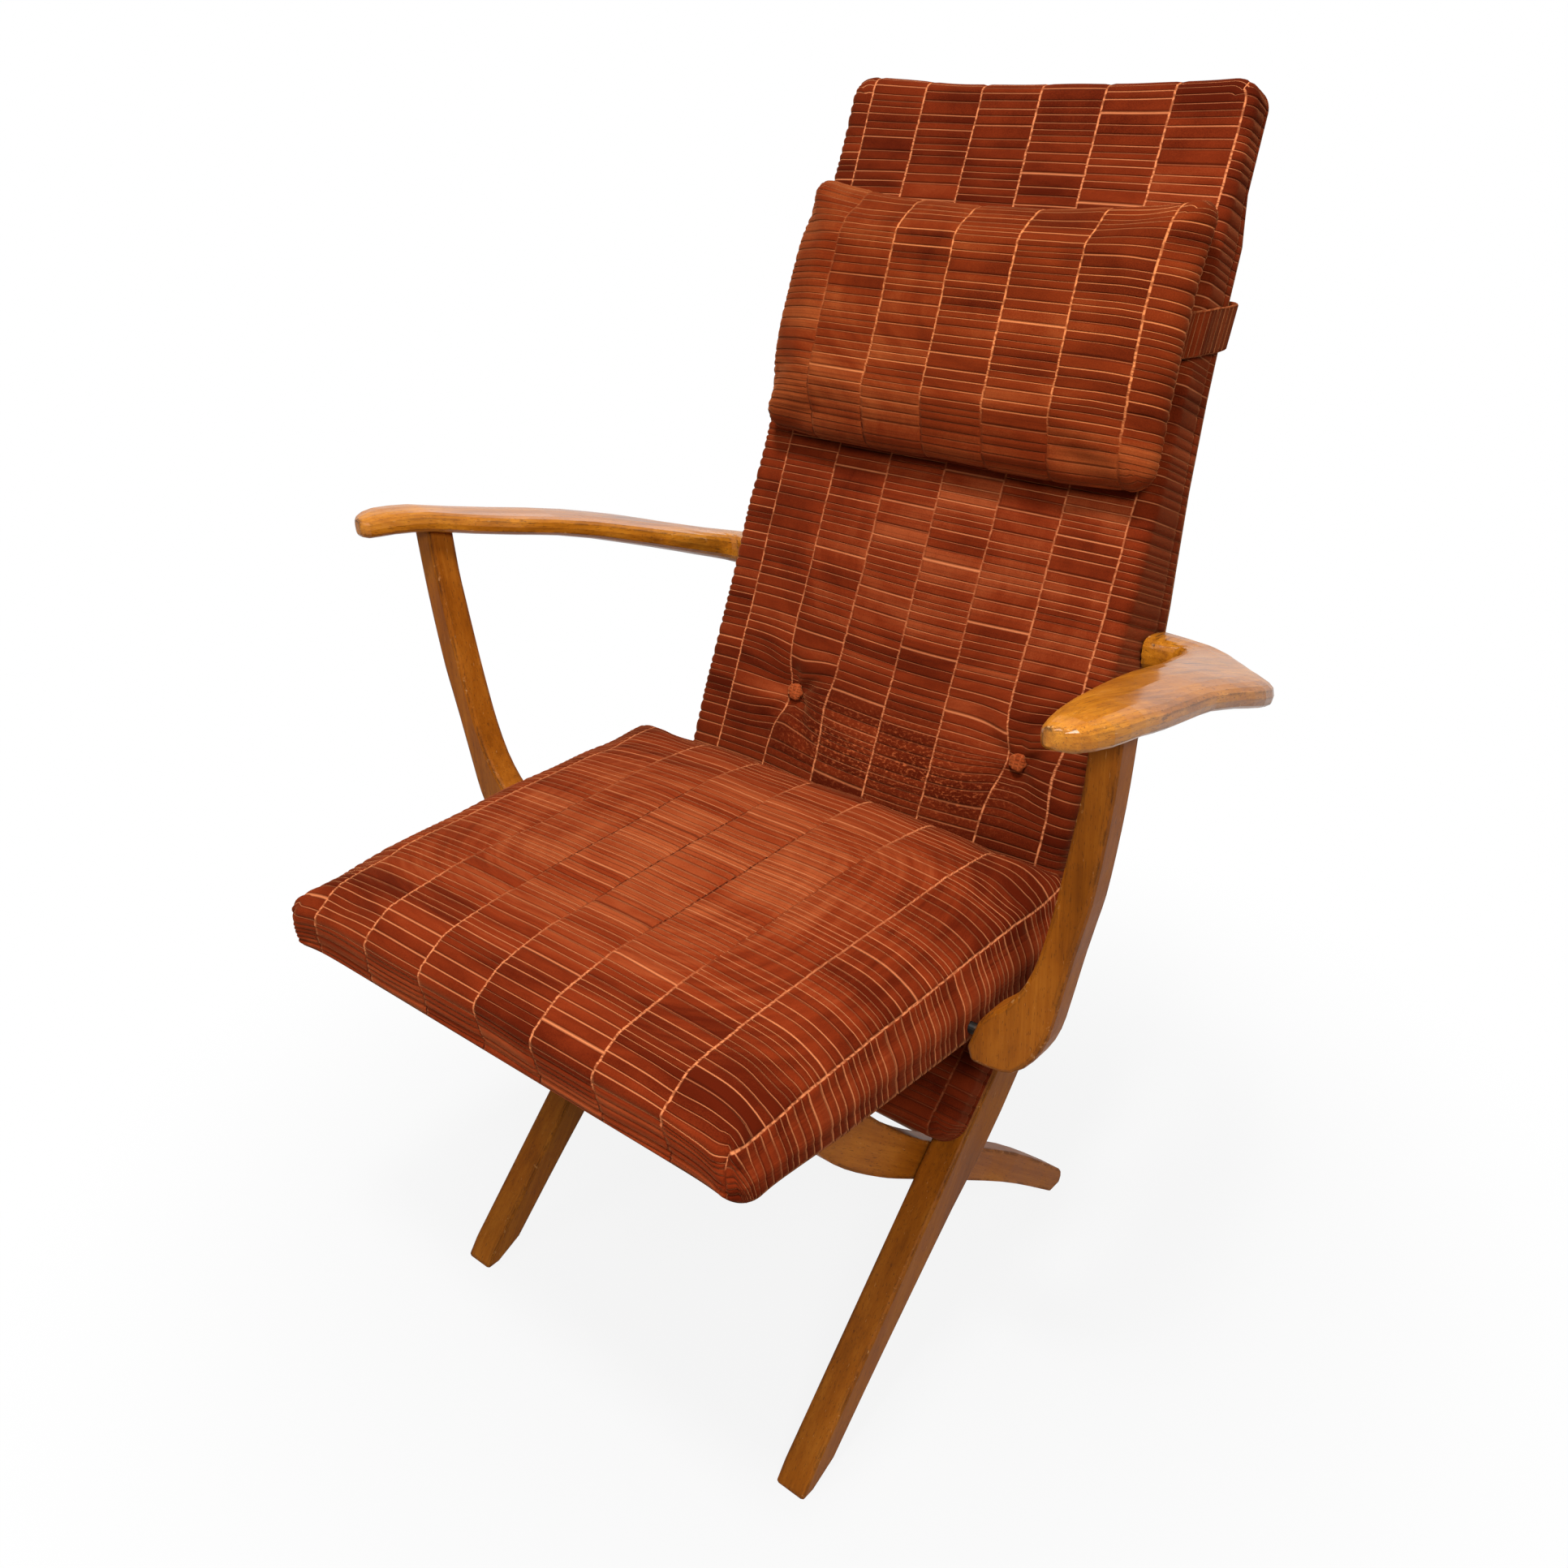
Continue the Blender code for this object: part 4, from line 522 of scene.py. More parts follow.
def swell(verts, faces, free, pressure, cap):
    """Inflate a closed mesh with a cloth simulation, and give each point's capped move."""
    mesh = bpy.data.meshes.new("swelling")
    mesh.from_pydata(verts.tolist(), [], faces)
    body = put("swelling", mesh)
    pins = body.vertex_groups.new(name="pin")
    for k, share in enumerate(free):
        pins.add([k], float(1 - share), "REPLACE")
    cloth = body.modifiers.new("cloth", "CLOTH")
    settings = {"quality": 5, "mass": 0.3, "tension_stiffness": 12, "compression_stiffness": 12,
                "bending_stiffness": 0.4, "use_pressure": True, "uniform_pressure_force": pressure,
                "vertex_group_mass": "pin"}
    for key, value in settings.items():
        setattr(cloth.settings, key, value)
    cloth.settings.effector_weights.gravity = 0
    cloth.collision_settings.use_collision = False
    cloth.point_cache.frame_start = 1
    cloth.point_cache.frame_end = SWELL_FRAMES
    scene = bpy.context.scene
    for number in range(1, SWELL_FRAMES + 1):
        scene.frame_set(number)
    solid = body.evaluated_get(bpy.context.evaluated_depsgraph_get())
    moved = np.zeros(len(verts) * 3)
    solid.data.vertices.foreach_get("co", moved)
    bpy.data.objects.remove(body)
    bpy.data.meshes.remove(mesh)
    scene.frame_set(1)
    move = moved.reshape(-1, 3) - verts
    length = np.linalg.norm(move, axis=1, keepdims=True)
    return move * np.minimum(1.0, cap / np.maximum(length, TINY))


def carried(move, old, new):
    """Moves of new rows, between those of the old rows."""
    old, new = old[:, 0] + old[:, 1], new[:, 0] + new[:, 1]
    parts = [np.interp(new, old, part) for part in move.reshape(len(old), -1).T]
    return np.stack(parts, -1).reshape(len(new), *move.shape[1:])


def spread_move(move, coarse_rows, coarse_cols, rows, cols):
    """Carry the coarse sheet's move over to the fine sheet."""
    wide = carried(move.swapaxes(0, 1), coarse_cols, cols).swapaxes(0, 1)
    fine = carried(wide, coarse_rows, rows)
    for _ in range(ROW_PASSES):
        fine[1:-1] = (fine[:-2] + 2 * fine[1:-1] + fine[2:]) / 4
    for _ in range(COL_PASSES):
        fine[:, 1:-1] = (fine[:, :-2] + 2 * fine[:, 1:-1] + fine[:, 2:]) / 4
    return fine


def picks(places, step):
    """Every step-th place on the flat face, with both ends of the sheet."""
    flat = [k for k in range(len(places)) if places[k, 1] == 0]
    return [0] + flat[::step] + [len(places) - 1]


def normals_of(grid):
    """Outward unit normals of a grid of points."""
    normal = np.cross(np.gradient(grid, axis=1), np.gradient(grid, axis=0))
    return normal / np.maximum(np.linalg.norm(normal, axis=2, keepdims=True), 1e-12)


COARSE_STEPS, COARSE_PICK = (0.011, 0.014), 2  # of the sheet that is swollen
ROW_PICK, COL_PICK = 9, 5  # points of the fine sheet for each of the grid behind it
KEPT_INWARD = 0.15
SWELL_FRAMES, ROW_PASSES, COL_PASSES = 20, 6, 3
HEM_PLACE, HEM_WIDE, HEM_DEEP = 0.78, 0.035, 0.0016


def cushion(name, spec, finish, body, node):
    """Make a cushion: swell the coarse sheet, then lay the ribbed fine sheet on it."""
    corner, fillet = spec.corner, spec.fillet

    def sheet(step_s, step_x):
        """Rows and columns of the sheet, its points, its cloth's coordinates and the way over the edge."""
        end = edge_path(corner, fillet, spec.end_wall, step_s)
        inner = spec.half - corner
        cols = params(-inner, inner, step_x, edge_path(corner, fillet, spec.wall, max(step_s, 0.004)))
        rows = params(spec.low + corner, spec.high - corner, step_s, end)
        # The wall's share of its length is the same on the sides and at the ends
        beyond, start = np.abs(cols[:, 1]), corner - fillet + fillet * pi / 2
        stretched = np.where(beyond > start, start + (beyond - start) * spec.end_wall / spec.wall, beyond)
        shares = np.stack((cols[:, 0] / inner, np.sign(cols[:, 1]) * stretched), -1)
        return rows, cols, *folded(shares, rows, spec)

    def closing(local, rows, cols, row_picks, col_picks):
        """Loops inside the rim, and the grid behind."""
        rim, kept = rim_of(local.shape[:2], row_picks, col_picks)
        kept = [rim[k] for k in kept]
        sides = np.array([(np.sign(cols[j, 1]), np.sign(rows[i, 1]), 0) for i, j in kept])
        hem = np.array([local[place] for place in kept]) - sides * (*spec.inset, 0)
        flat = hem.copy()
        flat[:, 2] = spec.rear
        inner = local[np.ix_(row_picks[1:-1], col_picks[1:-1])]
        inner[..., 2] = spec.rear
        return [hem, flat] if spec.hem else [flat], inner

    rows, cols, local, across, along, reach, down = sheet(spec.step, spec.step_x)
    c_rows, c_cols, c_local, _, _, _, c_down = sheet(*COARSE_STEPS)
    row_picks, col_picks = picks(c_rows, COARSE_PICK), picks(c_cols, COARSE_PICK)
    loops, inner = closing(c_local, c_rows, c_cols, row_picks, col_picks)
    verts, faces, _ = shell(c_local, loops, inner, row_picks, col_picks)
    free = np.zeros(len(verts))
    free[:c_down.size] = spec.free(c_local, c_down).ravel()
    moved = swell(verts, faces, free, spec.pressure, spec.cap)[:c_down.size].reshape(c_local.shape)
    move = spread_move(moved, c_rows, c_cols, rows, cols)
    # The filling holds the sides out, so little of an inward move is kept
    for k, middle in ((0, 0.0), (1, (spec.low + spec.high) / 2)):
        inward = (local[..., k] - middle) * move[..., k] < 0
        move[..., k] = np.where(inward, KEPT_INWARD * move[..., k], move[..., k])
    local = spec.limit(local + move, down)
    row_picks, col_picks = picks(rows, ROW_PICK), picks(cols, COL_PICK)
    loops, inner = closing(local, rows, cols, row_picks, col_picks)
    across, along = spec.drawn(local, across + 0 * along, along + 0 * across)
    points = spec.place(local)
    fade = 1 - smooth(0.90, 1.0, down)
    edge = smooth(corner * 0.1, corner * 0.8, reach) * (1 - 0.5 * smooth(0.1, 0.5, down))
    relief = -rib_relief(across, along, edge, *spec.cloth) * fade + spec.lumps(local) * fade
    relief = relief - HEM_DEEP * bell(down - HEM_PLACE, HEM_WIDE)
    points = points + normals_of(points) * relief[..., None]
    loops = [spec.place(loop) for loop in loops]
    verts, faces, front_faces = shell(points, loops, spec.place(inner), row_picks, col_picks)

    def on_front(values):
        """Values at the front sheet's points, and 0 at all others."""
        whole = np.zeros(len(verts))
        whole[:down.size] = np.broadcast_to(values, down.shape).ravel()
        return whole

    mesh = bpy.data.meshes.new(name)
    mesh.from_pydata(verts.tolist(), [], faces)
    mesh.materials.append(finish)
    mesh.materials.append(lining)
    mesh.polygons.foreach_set("material_index", (np.arange(len(faces)) >= front_faces).astype(int))
    mesh.shade_smooth()
    mark(mesh, "sheet", np.stack([on_front(v) for v in (across, along, spec.wear(local, down))], -1))
    mark(mesh, "bright", on_front(spec.bright(local, down)))
    mark(mesh, "crushed", on_front(spec.crushed(local)))
    piece = put(name, mesh)
    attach(piece, body)
    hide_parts(node)


def straight(local, across, along):
    """Ribs that nothing bends."""
    return across, along


def waves(x, s, size):
    """Slow unevenness of stuffed cloth."""
    return size * (np.sin(x * 31 + s * 17 + 0.6) * 0.5 + np.sin(s * 43 - x * 23 + 2.1) * 0.3
                   + np.sin(x * 71 + s * 59 + 4.0) * 0.2)


# Backrest cushion
def back_half(s):
    return BACK_HALF - BACK_TAPER * np.maximum(0.0, s - HEEL - TAPER_START)


def tuft(x, s, deep=0.014, wide=0.030):
    total = 0.0
    for bx, bs in BUTTONS:
        total = total + deep * np.exp(-1.9 * ((x - bx) ** 2 + (s - bs) ** 2) / wide ** 2)
    return total


def back_face(x, s):
    level = STANDOFF + SLAB - 0.003
    return level + CROWN * (1 - (x / BACK_HALF) ** 2) - tuft(x, s)


def back_rim(x, s):
    """Depth of the cover's edge: behind the rails where they run, and flat elsewhere."""
    flange = -np.interp(s, *RAIL_DEPTHS)
    share = smooth(0.0, 0.02, s) * np.clip((RAIL_TOP + 0.02 - s) / 0.04, 0, 1)
    beside = smooth(BACK_HALF - 0.040, BACK_HALF - 0.022, np.abs(x) + (BACK_HALF - back_half(s)))
    return STANDOFF * (1 - share * beside) + flange * share * beside


def back_free(local, down):
    """The cover swells on the face, but not round the buttons or on the walls."""
    return np.where(down > 0.02, 0.0, 1 - smooth(0.0, 0.5, tuft(local[..., 0], local[..., 1], 1.0, 0.012)))


def back_limit(local, down):
    x, s, depth = split(local)
    under_pillow = (smooth(PILLOW_MIDDLE - 0.18, PILLOW_MIDDLE - 0.14, s)
                    * smooth(PILLOW_MIDDLE + 0.18, PILLOW_MIDDLE + 0.15, s))
    most = STANDOFF + SLAB + CROWN * (1 - (x / BACK_HALF) ** 2) + 0.006 * (1 - under_pillow)
    local[..., 2] = np.minimum(depth, np.maximum(most - tuft(x, s, 0.012, 0.026), STANDOFF))
    reach = back_half(s) + 0.0009
    local[..., 0] = np.clip(x, -reach, reach)
    return local


def back_lumps(local):
    """Creases that run from the buttons, and slow unevenness."""
    x, s, _ = split(local)
    height = waves(x, s, 0.0011)
    for k, (bx, bs) in enumerate(BUTTONS):
        dx, ds = x - bx, s - bs
        away = np.hypot(dx, ds)
        angle = np.arctan2(ds, dx)
        near = bell(away, 0.052) * smooth(0.006, 0.016, away)
        height = height + 0.0024 * near * np.cos(5 * angle + 1.2 * k + 14 * away)
        folds = ((-0.95 - 0.5 * k, 0.0046), (-2.15 + 0.4 * k, 0.0042), (0.5, 0.0022), (2.5, 0.0022))
        for lean, size in folds:
            off = np.abs(dx * np.sin(lean) - ds * np.cos(lean))
            run = dx * np.cos(lean) + ds * np.sin(lean)
            height = height - size * bell(off, 0.006) * smooth(0.004, 0.014, run) * smooth(0.085, 0.02, run)
    return height


def back_drawn(local, across, along):
    """The cloth is gathered towards the buttons, so its ribs bend to them."""
    x, s, _ = split(local)
    for bx, bs in BUTTONS:
        pull = 0.62 * np.exp(-((x - bx) ** 2 + (s - bs) ** 2) / 0.034 ** 2)
        across, along = across + (x - bx) * pull, along + (s - bs) * pull
    return across, along + 0.0035 * np.sin(x * 17 + 1.0) * smooth(0.3, 0.1, s - HEEL)


def back_crushed(local):
    """Pile crushed by sitting, between and below the buttons."""
    x, s = local[..., 0], local[..., 1] - HEEL
    return 1.2 * np.exp(-(np.abs(x - 0.03) / 0.125) ** 4 - ((s - 0.030) / 0.034) ** 2)


# Line tone of the back: paler lines at the sides; the lines fade low down and on the walls, and under the
# seat they turn to painted groove shade
def back_line_tone_and_shade(local, down):
    x, s = local[..., 0], local[..., 1] - HEEL
    low = 0.40 * smooth(0.12, 0.0, s) + 0.50 * smooth(-0.03, -0.10, s)
    return 0.95 + 0.15 * smooth(0.10, 0.20, np.abs(x)) - low - 0.3 * smooth(0.2, 0.6, down)


def back_wear_and_shade(local, down):
    """Paler pile where the sitter leans, darker near the top and by the edges, and darker low down by the
    seat, which is painted shade.
    """
    x, s = local[..., 0], local[..., 1] - HEEL
    middle = np.exp(-((x - 0.02) / 0.16) ** 2 - ((s - 0.23) / 0.16) ** 2)
    # Painted shade low down, where the seat meets the back
    low = 0.35 * smooth(0.16, 0.0, s) - 0.30 * smooth(-0.03, -0.10, s)
    return 0.35 * middle - low - 0.25 * smooth(0.5, 0.62, s)


def back_place(local):
    """The top edge hangs a little lower in the middle."""
    x, s, depth = split(local)
    dip = 0.011 * np.clip(1 - (BACK_TOP - s) / 0.10, 0, 1) * (1 - (x / BACK_HALF) ** 2)
    return back_spot(x, s - dip, depth)


cushion("back_cushion", SimpleNamespace(
    half=BACK_HALF, half_of=back_half, low=BACK_LOW, high=BACK_TOP, corner=0.024, fillet=0.012, wall=0.075,
    end_wall=0.022, face=back_face, rim=back_rim, inset=(COVER * 0.95, 0.006), rear=STANDOFF, hem=True,
    step=0.0017, step_x=0.0055, pressure=4.0, cap=0.010, free=back_free, limit=back_limit,
    lumps=back_lumps, place=back_place, cloth=BACK_CLOTH, wear=back_wear_and_shade, drawn=back_drawn,
    bright=back_line_tone_and_shade, crushed=back_crushed,
), velvet_back, "back_frame", "back_pad")


# Seat cushion: its cover hangs round the frame
def seat_bottom(y):
    places = np.array((SEAT_FRONT, 0.014, 0.179, 0.239, SEAT_REAR - 0.03))
    return np.interp(y, places, (0.422, 0.408, 0.396, 0.396, 0.402))


def seat_face(x, y):
    share = np.abs(x) / SEAT_HALF
    end = np.minimum(y - SEAT_FRONT, SEAT_REAR - y)
    crown = SEAT_CROWN * np.clip(end / 0.10, 0.0, 1) ** 0.7
    return SEAT_TOP - 0.004 + crown * (1 - share ** 3.0)


def seat_free(local, down):
    return np.where(down > 0, 0.75 * (1 - smooth(0.15, 0.75, down)), 1.0)


def seat_limit(local, down):
    x, y, z = split(local)
    local[..., 2] = np.minimum(z, SEAT_TOP + SEAT_CROWN + 0.004)
    local[..., 1] = np.clip(y, SEAT_FRONT - 0.007, SEAT_REAR + 0.003)
    most = SEAT_HALF + 0.0015 + 0.010 * smooth(0.43, 0.452, local[..., 2])
    local[..., 0] = np.clip(x, -most, most)
    return local


def seat_place(local):
    x, y, z = split(local)
    lean = np.clip(1 - (SEAT_REAR - y) / 0.09, 0, 1)
    for side, drop in ((-1, 0.011), (1, 0.003)):
        away = np.hypot(SEAT_HALF - side * x, y - SEAT_FRONT)
        z = z - drop * bell(away, 0.036) * smooth(0.40, 0.46, z)
        near = bell(away, 0.022)
        x, y = x + side * 0.0030 * near, y - 0.0030 * near
    high, ahead = smooth(0.425, 0.458, z), smooth(0.14, 0.06, y) * (0.55 + 0.45 * smooth(0.40, 0.44, z))
    x = x - 0.009 * np.maximum(high, ahead * smooth(0.0, 0.2, -x))
    x = x - 0.010 * smooth(0.10, 0.26, -x) * np.maximum(smooth(0.430, 0.462, z), ahead)
    return np.stack((x, y - lean * (SEAT_TOP - z) / tan(BACK_ANGLE) + SHIFT_Y, z + SHIFT_Z), -1)


def seat_wear_and_shade(local, down):
    """Brushed and paler in the middle, dark by the front and sides, and darker still on the lower side walls,
    which is painted shade.
    """
    x, y, _ = split(local)
    middle = np.exp(-np.abs((x + 0.01) / 0.215) ** 3.5 - np.abs((y - 0.135) / 0.165) ** 3.5)
    edge = -0.45 * (1 - middle) * (1 - smooth(0.05, 0.3, down)) + 0.10 * smooth(0.1, 0.5, down)
    beside = smooth(SEAT_HALF - 0.030, SEAT_HALF - 0.004, np.abs(x))
    # The last term paints shade on the lower side walls and leaves the lower front wall paler
    return 0.85 * middle + edge + smooth(0.45, 0.85, down) * (0.25 - 1.0 * beside)


# Line tone of the seat: fewer pale lines in the worn middle, and painted crease shade instead of pale lines
# on the front wall
def seat_line_tone_and_shade(local, down):
    x, y, _ = split(local)
    middle = np.exp(-np.abs((x + 0.01) / 0.225) ** 4 - np.abs((y - 0.150) / 0.175) ** 4)
    front = smooth(0.02, 0.30, down) * smooth(0.10, 0.0, y - SEAT_FRONT)
    return 1.05 - 0.35 * middle - 1.30 * front


def seat_lumps(local):
    x, y, _ = split(local)
    height = waves(x, y, 0.0013)
    for side in (-1, 1):
        dx, dy = SEAT_HALF - side * x, y - SEAT_FRONT
        away = np.hypot(dx, dy)
        near = bell(away, 0.030)
        height = height + near * (0.0018 + 0.0022 * np.cos(5.5 * np.arctan2(dy, dx) + 30 * away))
    return height


cushion("seat_cushion", SimpleNamespace(
    half=SEAT_HALF, half_of=lambda y: SEAT_HALF, low=SEAT_FRONT, high=SEAT_REAR, corner=0.020, fillet=0.010,
    wall=0.050, end_wall=0.044, face=seat_face, rim=lambda x, y: seat_bottom(y), inset=(0.0055, 0.0055),
    rear=SEAT_WEB, hem=True, step=0.0017, step_x=0.0058, pressure=3.0, cap=0.009, free=seat_free,
    limit=seat_limit, lumps=seat_lumps, place=seat_place, cloth=SEAT_CLOTH, wear=seat_wear_and_shade, drawn=straight,
    bright=seat_line_tone_and_shade, crushed=lambda local: 0.12 * seat_wear_and_shade(local, 0 * local[..., 0]),
), velvet_seat, "seat", "seat_pad")


# Head pillow
PILLOW_REST = STANDOFF + SLAB + CROWN + 0.0003
HALF_HEIGHT = PILLOW_HEIGHT / 2


def pillow_face(x, s):
    share = np.clip(np.abs(s) / HALF_HEIGHT, 0, 1)
    return PILLOW_THICK * (0.72 + 0.20 * (1 - share ** 2) - 0.10 * (np.abs(x) / PILLOW_HALF) ** 4)


def pillow_limit(local, down):
    tuck = smooth(0.15, 1.0, down)
    for k, half, inward, power in ((0, PILLOW_HALF, 0.007, 5), (1, HALF_HEIGHT, 0.017, 3)):
        local[..., k] -= inward * tuck * np.clip(local[..., k] / half, -1, 1) ** power
        local[..., k] = np.clip(local[..., k], -half - 0.004, half + 0.004)
    local[..., 2] = np.clip(local[..., 2], 0.0006, PILLOW_THICK + 0.006)
    return local


# Line tone of the pillow: the lines fade on the walls and turn dark towards the left; low down, by the
# shadowed bottom edge, they are painted crease shade
def pillow_line_tone_and_shade(local, down):
    x, s, _ = split(local)
    left, low = smooth(-0.09, -0.20, x), smooth(-0.05, -0.115, s)
    return 1.05 - 0.95 * left - 0.95 * low - 0.5 * smooth(0.1, 0.5, down)


def pillow_wear(local, down):
    x, s, _ = split(local)
    return 0.35 * smooth(0.05, -0.2, x) + 0.25 * smooth(0.0, -0.1, s) + 0.1 * smooth(0.1, 0.5, down)


def pillow_place(local):
    x, s, depth = split(local)
    dip = 0.020 * np.clip(s / HALF_HEIGHT, 0, 1) ** 2 + 0.005 * np.clip(-s / HALF_HEIGHT, 0, 1)
    dip = dip * (1 - (x / PILLOW_HALF) ** 2)
    x = x * (1.012 + 0.018 * smooth(0.06, -0.09, s)) + PILLOW_SHIFT + 0.005 * smooth(0.1, -0.1, s)
    return back_spot(x, PILLOW_MIDDLE + s - dip, PILLOW_REST + depth)


cushion("pillow_cushion", SimpleNamespace(
    half=PILLOW_HALF, half_of=lambda s: PILLOW_HALF, low=-HALF_HEIGHT, high=HALF_HEIGHT, corner=0.020,
    fillet=0.017, wall=0.024, end_wall=0.024, face=pillow_face, rim=lambda x, s: 0.006,
    inset=(0.007, 0.007), rear=PILLOW_BASE, hem=False, step=0.0016, step_x=0.0052, pressure=4.0, cap=0.014,
    free=lambda local, down: 1 - smooth(0.4, 0.95, down), limit=pillow_limit,
    lumps=lambda local: waves(local[..., 0] + 0.2, local[..., 1], 0.0012), place=pillow_place,
    cloth=PILLOW_CLOTH, wear=pillow_wear, drawn=straight, bright=pillow_line_tone_and_shade,
    crushed=lambda local: 0 * local[..., 0],
), velvet_pillow, "head_pillow", "head_pillow")


def cloth_piece(name, verts, faces, finish, marks, bright):
    """A small velvet piece, with its cloth's coordinates and brightness."""
    mesh = bpy.data.meshes.new(name)
    mesh.from_pydata([tuple(float(c) for c in vert) for vert in verts], [], faces)
    mark(mesh, "sheet", marks)
    mark(mesh, "bright", [bright] * len(marks))
    mesh.materials.append(finish)
    mesh.shade_smooth()
    return put(name, mesh)


# Pillow strap: a flat band from the pillow's sides round the back of the rails
STRAP_UP, STRAP_SLIDE, STRAP_HALF, STRAP_THICK, STRAP_SLANT = 0.040, 0.040, 0.020, 0.0021, 0.036


def rounded_route(corners, radius, step):
    """Points along straight runs, with the corners turned on arcs."""
    points = [np.array(corners[0])]
    for before, here, after in zip(corners, corners[1:], corners[2:]):
        before, here, after = (np.array(p) for p in (before, here, after))
        last_run, next_run = np.linalg.norm(before - here), np.linalg.norm(after - here)
        reach = min(radius, 0.45 * last_run, 0.45 * next_run)
        for t in np.arange(ARC_STEPS + 1) / ARC_STEPS:
            points.append(here + (before - here) / last_run * reach * (1 - t) ** 2
                          + (after - here) / next_run * reach * t ** 2)
    points.append(np.array(corners[-1]))
    line = [points[0]]
    for a, b in zip(points, points[1:]):
        count = max(1, int(np.linalg.norm(b - a) / step))
        line += [a + (b - a) * k / count for k in range(1, count + 1)]
    return np.array(line)


def strap():
    """The band, which clears the rails and the cover with the pillow at its lowest."""
    middle = PILLOW_MIDDLE + STRAP_UP
    lowest = middle - STRAP_SLIDE - STRAP_HALF
    behind = -(float(np.interp(lowest, *RAIL_DEPTHS)) + 0.003)
    side = float(back_half(lowest)) + 0.0021
    start = PILLOW_REST + 0.024
    ends = []
    for sign in (1, -1):
        end = PILLOW_HALF + sign * PILLOW_SHIFT - 0.003
        route = [(end, start), (side - 0.006, PILLOW_REST - 0.001), (side + 0.0006, PILLOW_REST - 0.014),
                 (side + 0.0006, behind + 0.004), (side - 0.004, behind)]
        ends.append([(sign * x, depth) for x, depth in route])
    line = rounded_route(ends[0] + ends[1][::-1], 0.006, 0.0022)
    heading = np.gradient(line, axis=0)
    heading /= np.linalg.norm(heading, axis=1, keepdims=True)
    out = np.stack((-heading[:, 1], heading[:, 0]), -1)
    length = np.concatenate(([0], np.cumsum(np.linalg.norm(np.diff(line, axis=0), axis=1))))
    shifts = [-1, -0.99, -0.93, *np.linspace(-0.84, 0.84, 13), 0.93, 0.99, 1, 0.94, 0, -0.94]
    rises = [0.3, 0.75] + [1.0] * 15 + [0.75, 0.3, 0.0, 0.0, 0.0]
    rings, marks = [], []
    for (x, depth), (ox, od), place in zip(line, out, length):
        wobble = 0.0006 * sin(place * 60) + 0.0004 * sin(place * 137 + 1)
        slant = -STRAP_SLANT * min(1.0, max(0.0, (depth - behind) / (start - behind)))
        for shift, rise in zip(shifts, rises):
            shift = STRAP_HALF * shift
            crease = 0.00035 * (1 - abs(2 * ((place / 0.0075) % 1) - 1)) if rise == 1.0 else 0.0
            lift = STRAP_THICK * rise + crease
            rings.append(back_spot(x + ox * lift, middle + shift + wobble + slant, depth + od * lift))
            marks.append((shift, place, 0.0))
    n = len(shifts)
    index = np.arange(len(rings)).reshape(-1, n)
    around = np.roll(index, -1, 1)
    faces = quads(index[:-1], around[:-1], around[1:], index[1:])
    faces += [tuple(index[0, ::-1].tolist()), tuple(index[-1].tolist())]
    return cloth_piece("pillow_band", rings, faces, velvet_band, marks, 0.4)


band = strap()
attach(band, "head_pillow")
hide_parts("pillow_strap")


# Covered buttons, pleated where the cloth is gathered under them
BUTTON_RADIUS, BUTTON_RINGS, BUTTON_AROUND, BUTTON_SUNK = 0.0088, 10, 44, 0.0135


def button(name, bx, bs, node):
    rest = float(STANDOFF + SLAB + CROWN * (1 - (bx / BACK_HALF) ** 2)) - BUTTON_SUNK
    verts, marks = [], []
    for k in range(BUTTON_RINGS + 1):
        t = k / BUTTON_RINGS
        radius = BUTTON_RADIUS * sin(min(t * 1.12, 1.0) * pi / 2) * (1 - 0.12 * smooth(0.86, 1.0, t))
        height = 0.0060 * cos(t * pi / 2 * 1.06) ** 0.7 - 0.0022 * (1 - t) ** 2 if t < 0.94 else -0.0012
        for j in range(BUTTON_AROUND):
            a = 2 * pi * j / BUTTON_AROUND
            pleat = 1 + 0.09 * t ** 2 * cos(5 * a + 1.1 * sin(2 * a)) + 0.05 * cos(2 * a + 1.0)
            x, s = bx + radius * pleat * cos(a), bs + radius * pleat * sin(a)
            lift = rest + height - 0.0009 * t * (1 - 0.6 * t) * (1 + cos(9 * a + 2.0 * t))
            verts.append(back_spot(x, s, lift - 0.0006 * t ** 2 * (1 + cos(5 * a))))
            marks.append((x * 1.3, s * 1.3, 0.0))
    index = np.arange(len(verts)).reshape(-1, BUTTON_AROUND)
    around = np.roll(index, -1, 1)
    faces = [tuple(index[0].tolist()), *quads(index[:-1], index[1:], around[1:], around[:-1]),
             tuple(index[-1, ::-1].tolist())]
    piece = cloth_piece(name, verts, faces, velvet_button, marks, 0.8)
    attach(piece, "back_frame")
    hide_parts(node)


button("button_cover_right", *BUTTONS[0], "back_button_right")
button("button_cover_left", *BUTTONS[1], "back_button_left")


# Finishes of the pieces that stay as imported from model.glb
rail_wood = wood("beech_rail", (0, cos(radians(56)), sin(radians(56))), 0.66, 0.0)
leg_wood = wood("beech_leg", (0, cos(radians(-42)), sin(radians(-42))), 0.84, 0.0)
arm_wood = wood("beech_arm", (0.1, 1, -0.25), 0.98, 0.45, 1.5, 0.19, (1.0, 1.16, 0.9))
post_wood = wood("beech_post", (0, 0, 1), 0.72, 0.0)
cross_wood = wood("beech_cross", (1, 0, 0), 0.66, 0.08)
zinc = metal("zinc_plated", (0.52, 0.50, 0.47), 0.28, 0.55, (0.16, 0.12, 0.09))
dark_steel = metal("dark_metal", (0.045, 0.043, 0.040), 0.35, 0.6, (0.09, 0.05, 0.03))
webbing = rubber_webbing()
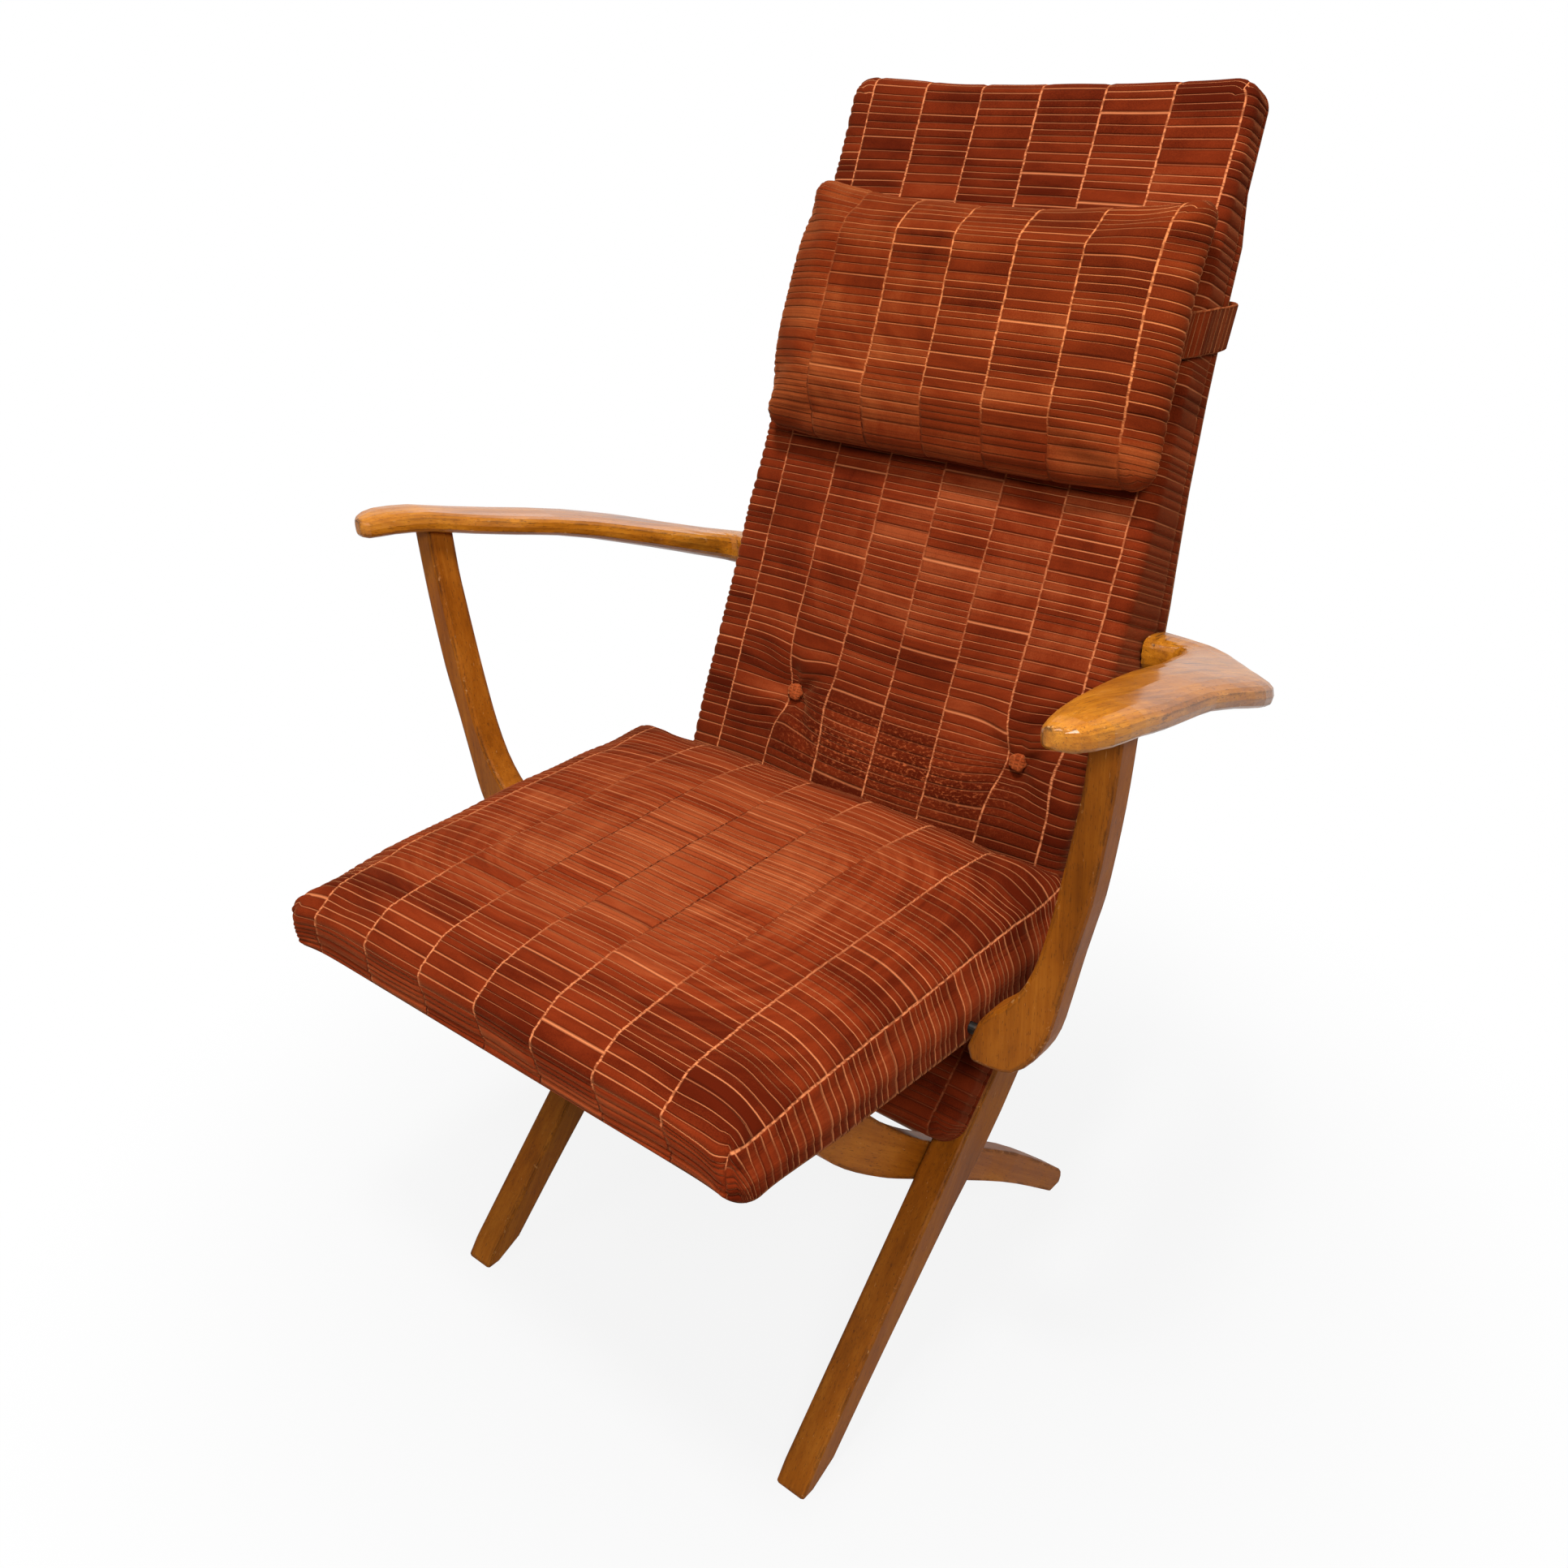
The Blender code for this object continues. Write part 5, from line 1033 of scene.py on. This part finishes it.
finishes = [("side_rail", rail_wood), ("rear_leg_upper", cross_wood), ("rear_leg_lower", cross_wood),
            ("rear_leg", leg_wood), ("armrest", arm_wood), ("arm_post", post_wood), ("back_web", webbing),
            ("seat_web", webbing), ("seat_axle", zinc), ("cross_", zinc), ("arm_bolt", zinc),
            ("arm_bush", dark_steel), ("seat_stud", dark_steel), ("seat_side_rail", leg_wood),
            ("seat_", cross_wood), ("back_", cross_wood)]
for name, item in nodes.items():
    for start, finish in finishes:
        if name.startswith(start):
            for slot in item.material_slots:
                slot.material = finish
            break


# Floor, light and camera
FLOOR_SIZE = 14.0
PHOTO_SIDE, FOCAL_PIXELS, SENSOR = 1932, 1820, 36
CAMERA_PLACE = (0.79288, -0.91942, 1.15038)
CAMERA_RIGHT, CAMERA_FORWARD = (0.75878475, 0.65039552, -0.03509092), (-0.58746483, 0.66010977, -0.46812409)


def looked_at(tree):
    """1 for the camera's rays and for reflected and passing ones, which see a white background."""
    path = add(tree, "LightPath").outputs
    straight = calc(tree, "MAXIMUM", path["Is Camera Ray"], path["Is Transmission Ray"])
    return calc(tree, "MAXIMUM", straight, path["Is Glossy Ray"])


def floor():
    """A pale floor that keeps the shadow near the chair and turns white beyond it."""
    material, tree, shader = new_material("pale_floor")
    place = add(tree, "NewGeometry").outputs["Position"]
    length = add(tree, "VectorMath", {0: place}, operation="LENGTH").outputs["Value"]
    share = times(tree, ease(tree, length, 0.25, 0.90, 0.88, 1.0), looked_at(tree))
    feed(tree, shader, {"Base Color": (0.42, 0.42, 0.42, 1.0), "Roughness": 0.9, "Specular IOR Level": 0.1})
    white = add(tree, "Emission", {"Color": (1, 1, 1, 1), "Strength": 1.0})
    both = add(tree, "MixShader", {0: share, 1: shader.outputs[0], 2: white.outputs[0]})
    feed(tree, tree.nodes["Material Output"], {"Surface": both.outputs[0]})
    mesh = bpy.data.meshes.new("floor")
    corners = [(FLOOR_SIZE * x, FLOOR_SIZE * y, 0) for x, y in ((-1, -1), (1, -1), (1, 1), (-1, 1))]
    mesh.from_pydata(corners, [], [(0, 1, 2, 3)])
    mesh.materials.append(material)
    ground = put("floor", mesh)


def lamp(name, place, target, size, power):
    """A round area lamp that looks at a target."""
    light = bpy.data.lights.new(name, "AREA")
    light.shape = "DISK"
    light.size = size
    light.energy = power
    item = put(name, light)
    item.location = place
    item.rotation_euler = (Vector(target) - Vector(place)).to_track_quat("-Z", "Y").to_euler()


def world(ambient):
    """Plain light from all sides, and a white background."""
    made = bpy.data.worlds.new("studio")
    made.use_nodes = True
    tree = made.node_tree
    strength = linear(tree, looked_at(tree), 1.0 - ambient, ambient)
    feed(tree, tree.nodes["Background"], {"Strength": strength, "Color": (1, 1, 1, 1)})
    bpy.context.scene.world = made


floor()
world(0.13)
lamp("key", (0.45, -0.80, 2.85), (0.0, 0.0, 0.5), 0.45, 58)
lamp("fill", (-0.9, -1.8, 2.3), (0.0, 0.0, 0.5), 1.0, 10)
lamp("side", (1.6, -1.4, 2.1), (0.1, 0.0, 0.5), 0.7, 38)
lamp("rim", (-1.5, 1.9, 1.7), (0.0, 0.0, 0.6), 1.2, 7)

right, forward = Vector(CAMERA_RIGHT), Vector(CAMERA_FORWARD)
view = bpy.data.cameras.new("view")
view.lens = FOCAL_PIXELS / PHOTO_SIDE * SENSOR
view.sensor_width = SENSOR
view.clip_start = 0.01
camera = put("view", view)
turn = Matrix((right, right.cross(forward), -forward)).transposed()
camera.matrix_world = Matrix.Translation(CAMERA_PLACE) @ turn.to_4x4()
bpy.context.scene.camera = camera
bpy.context.scene.view_settings.view_transform = "Standard"
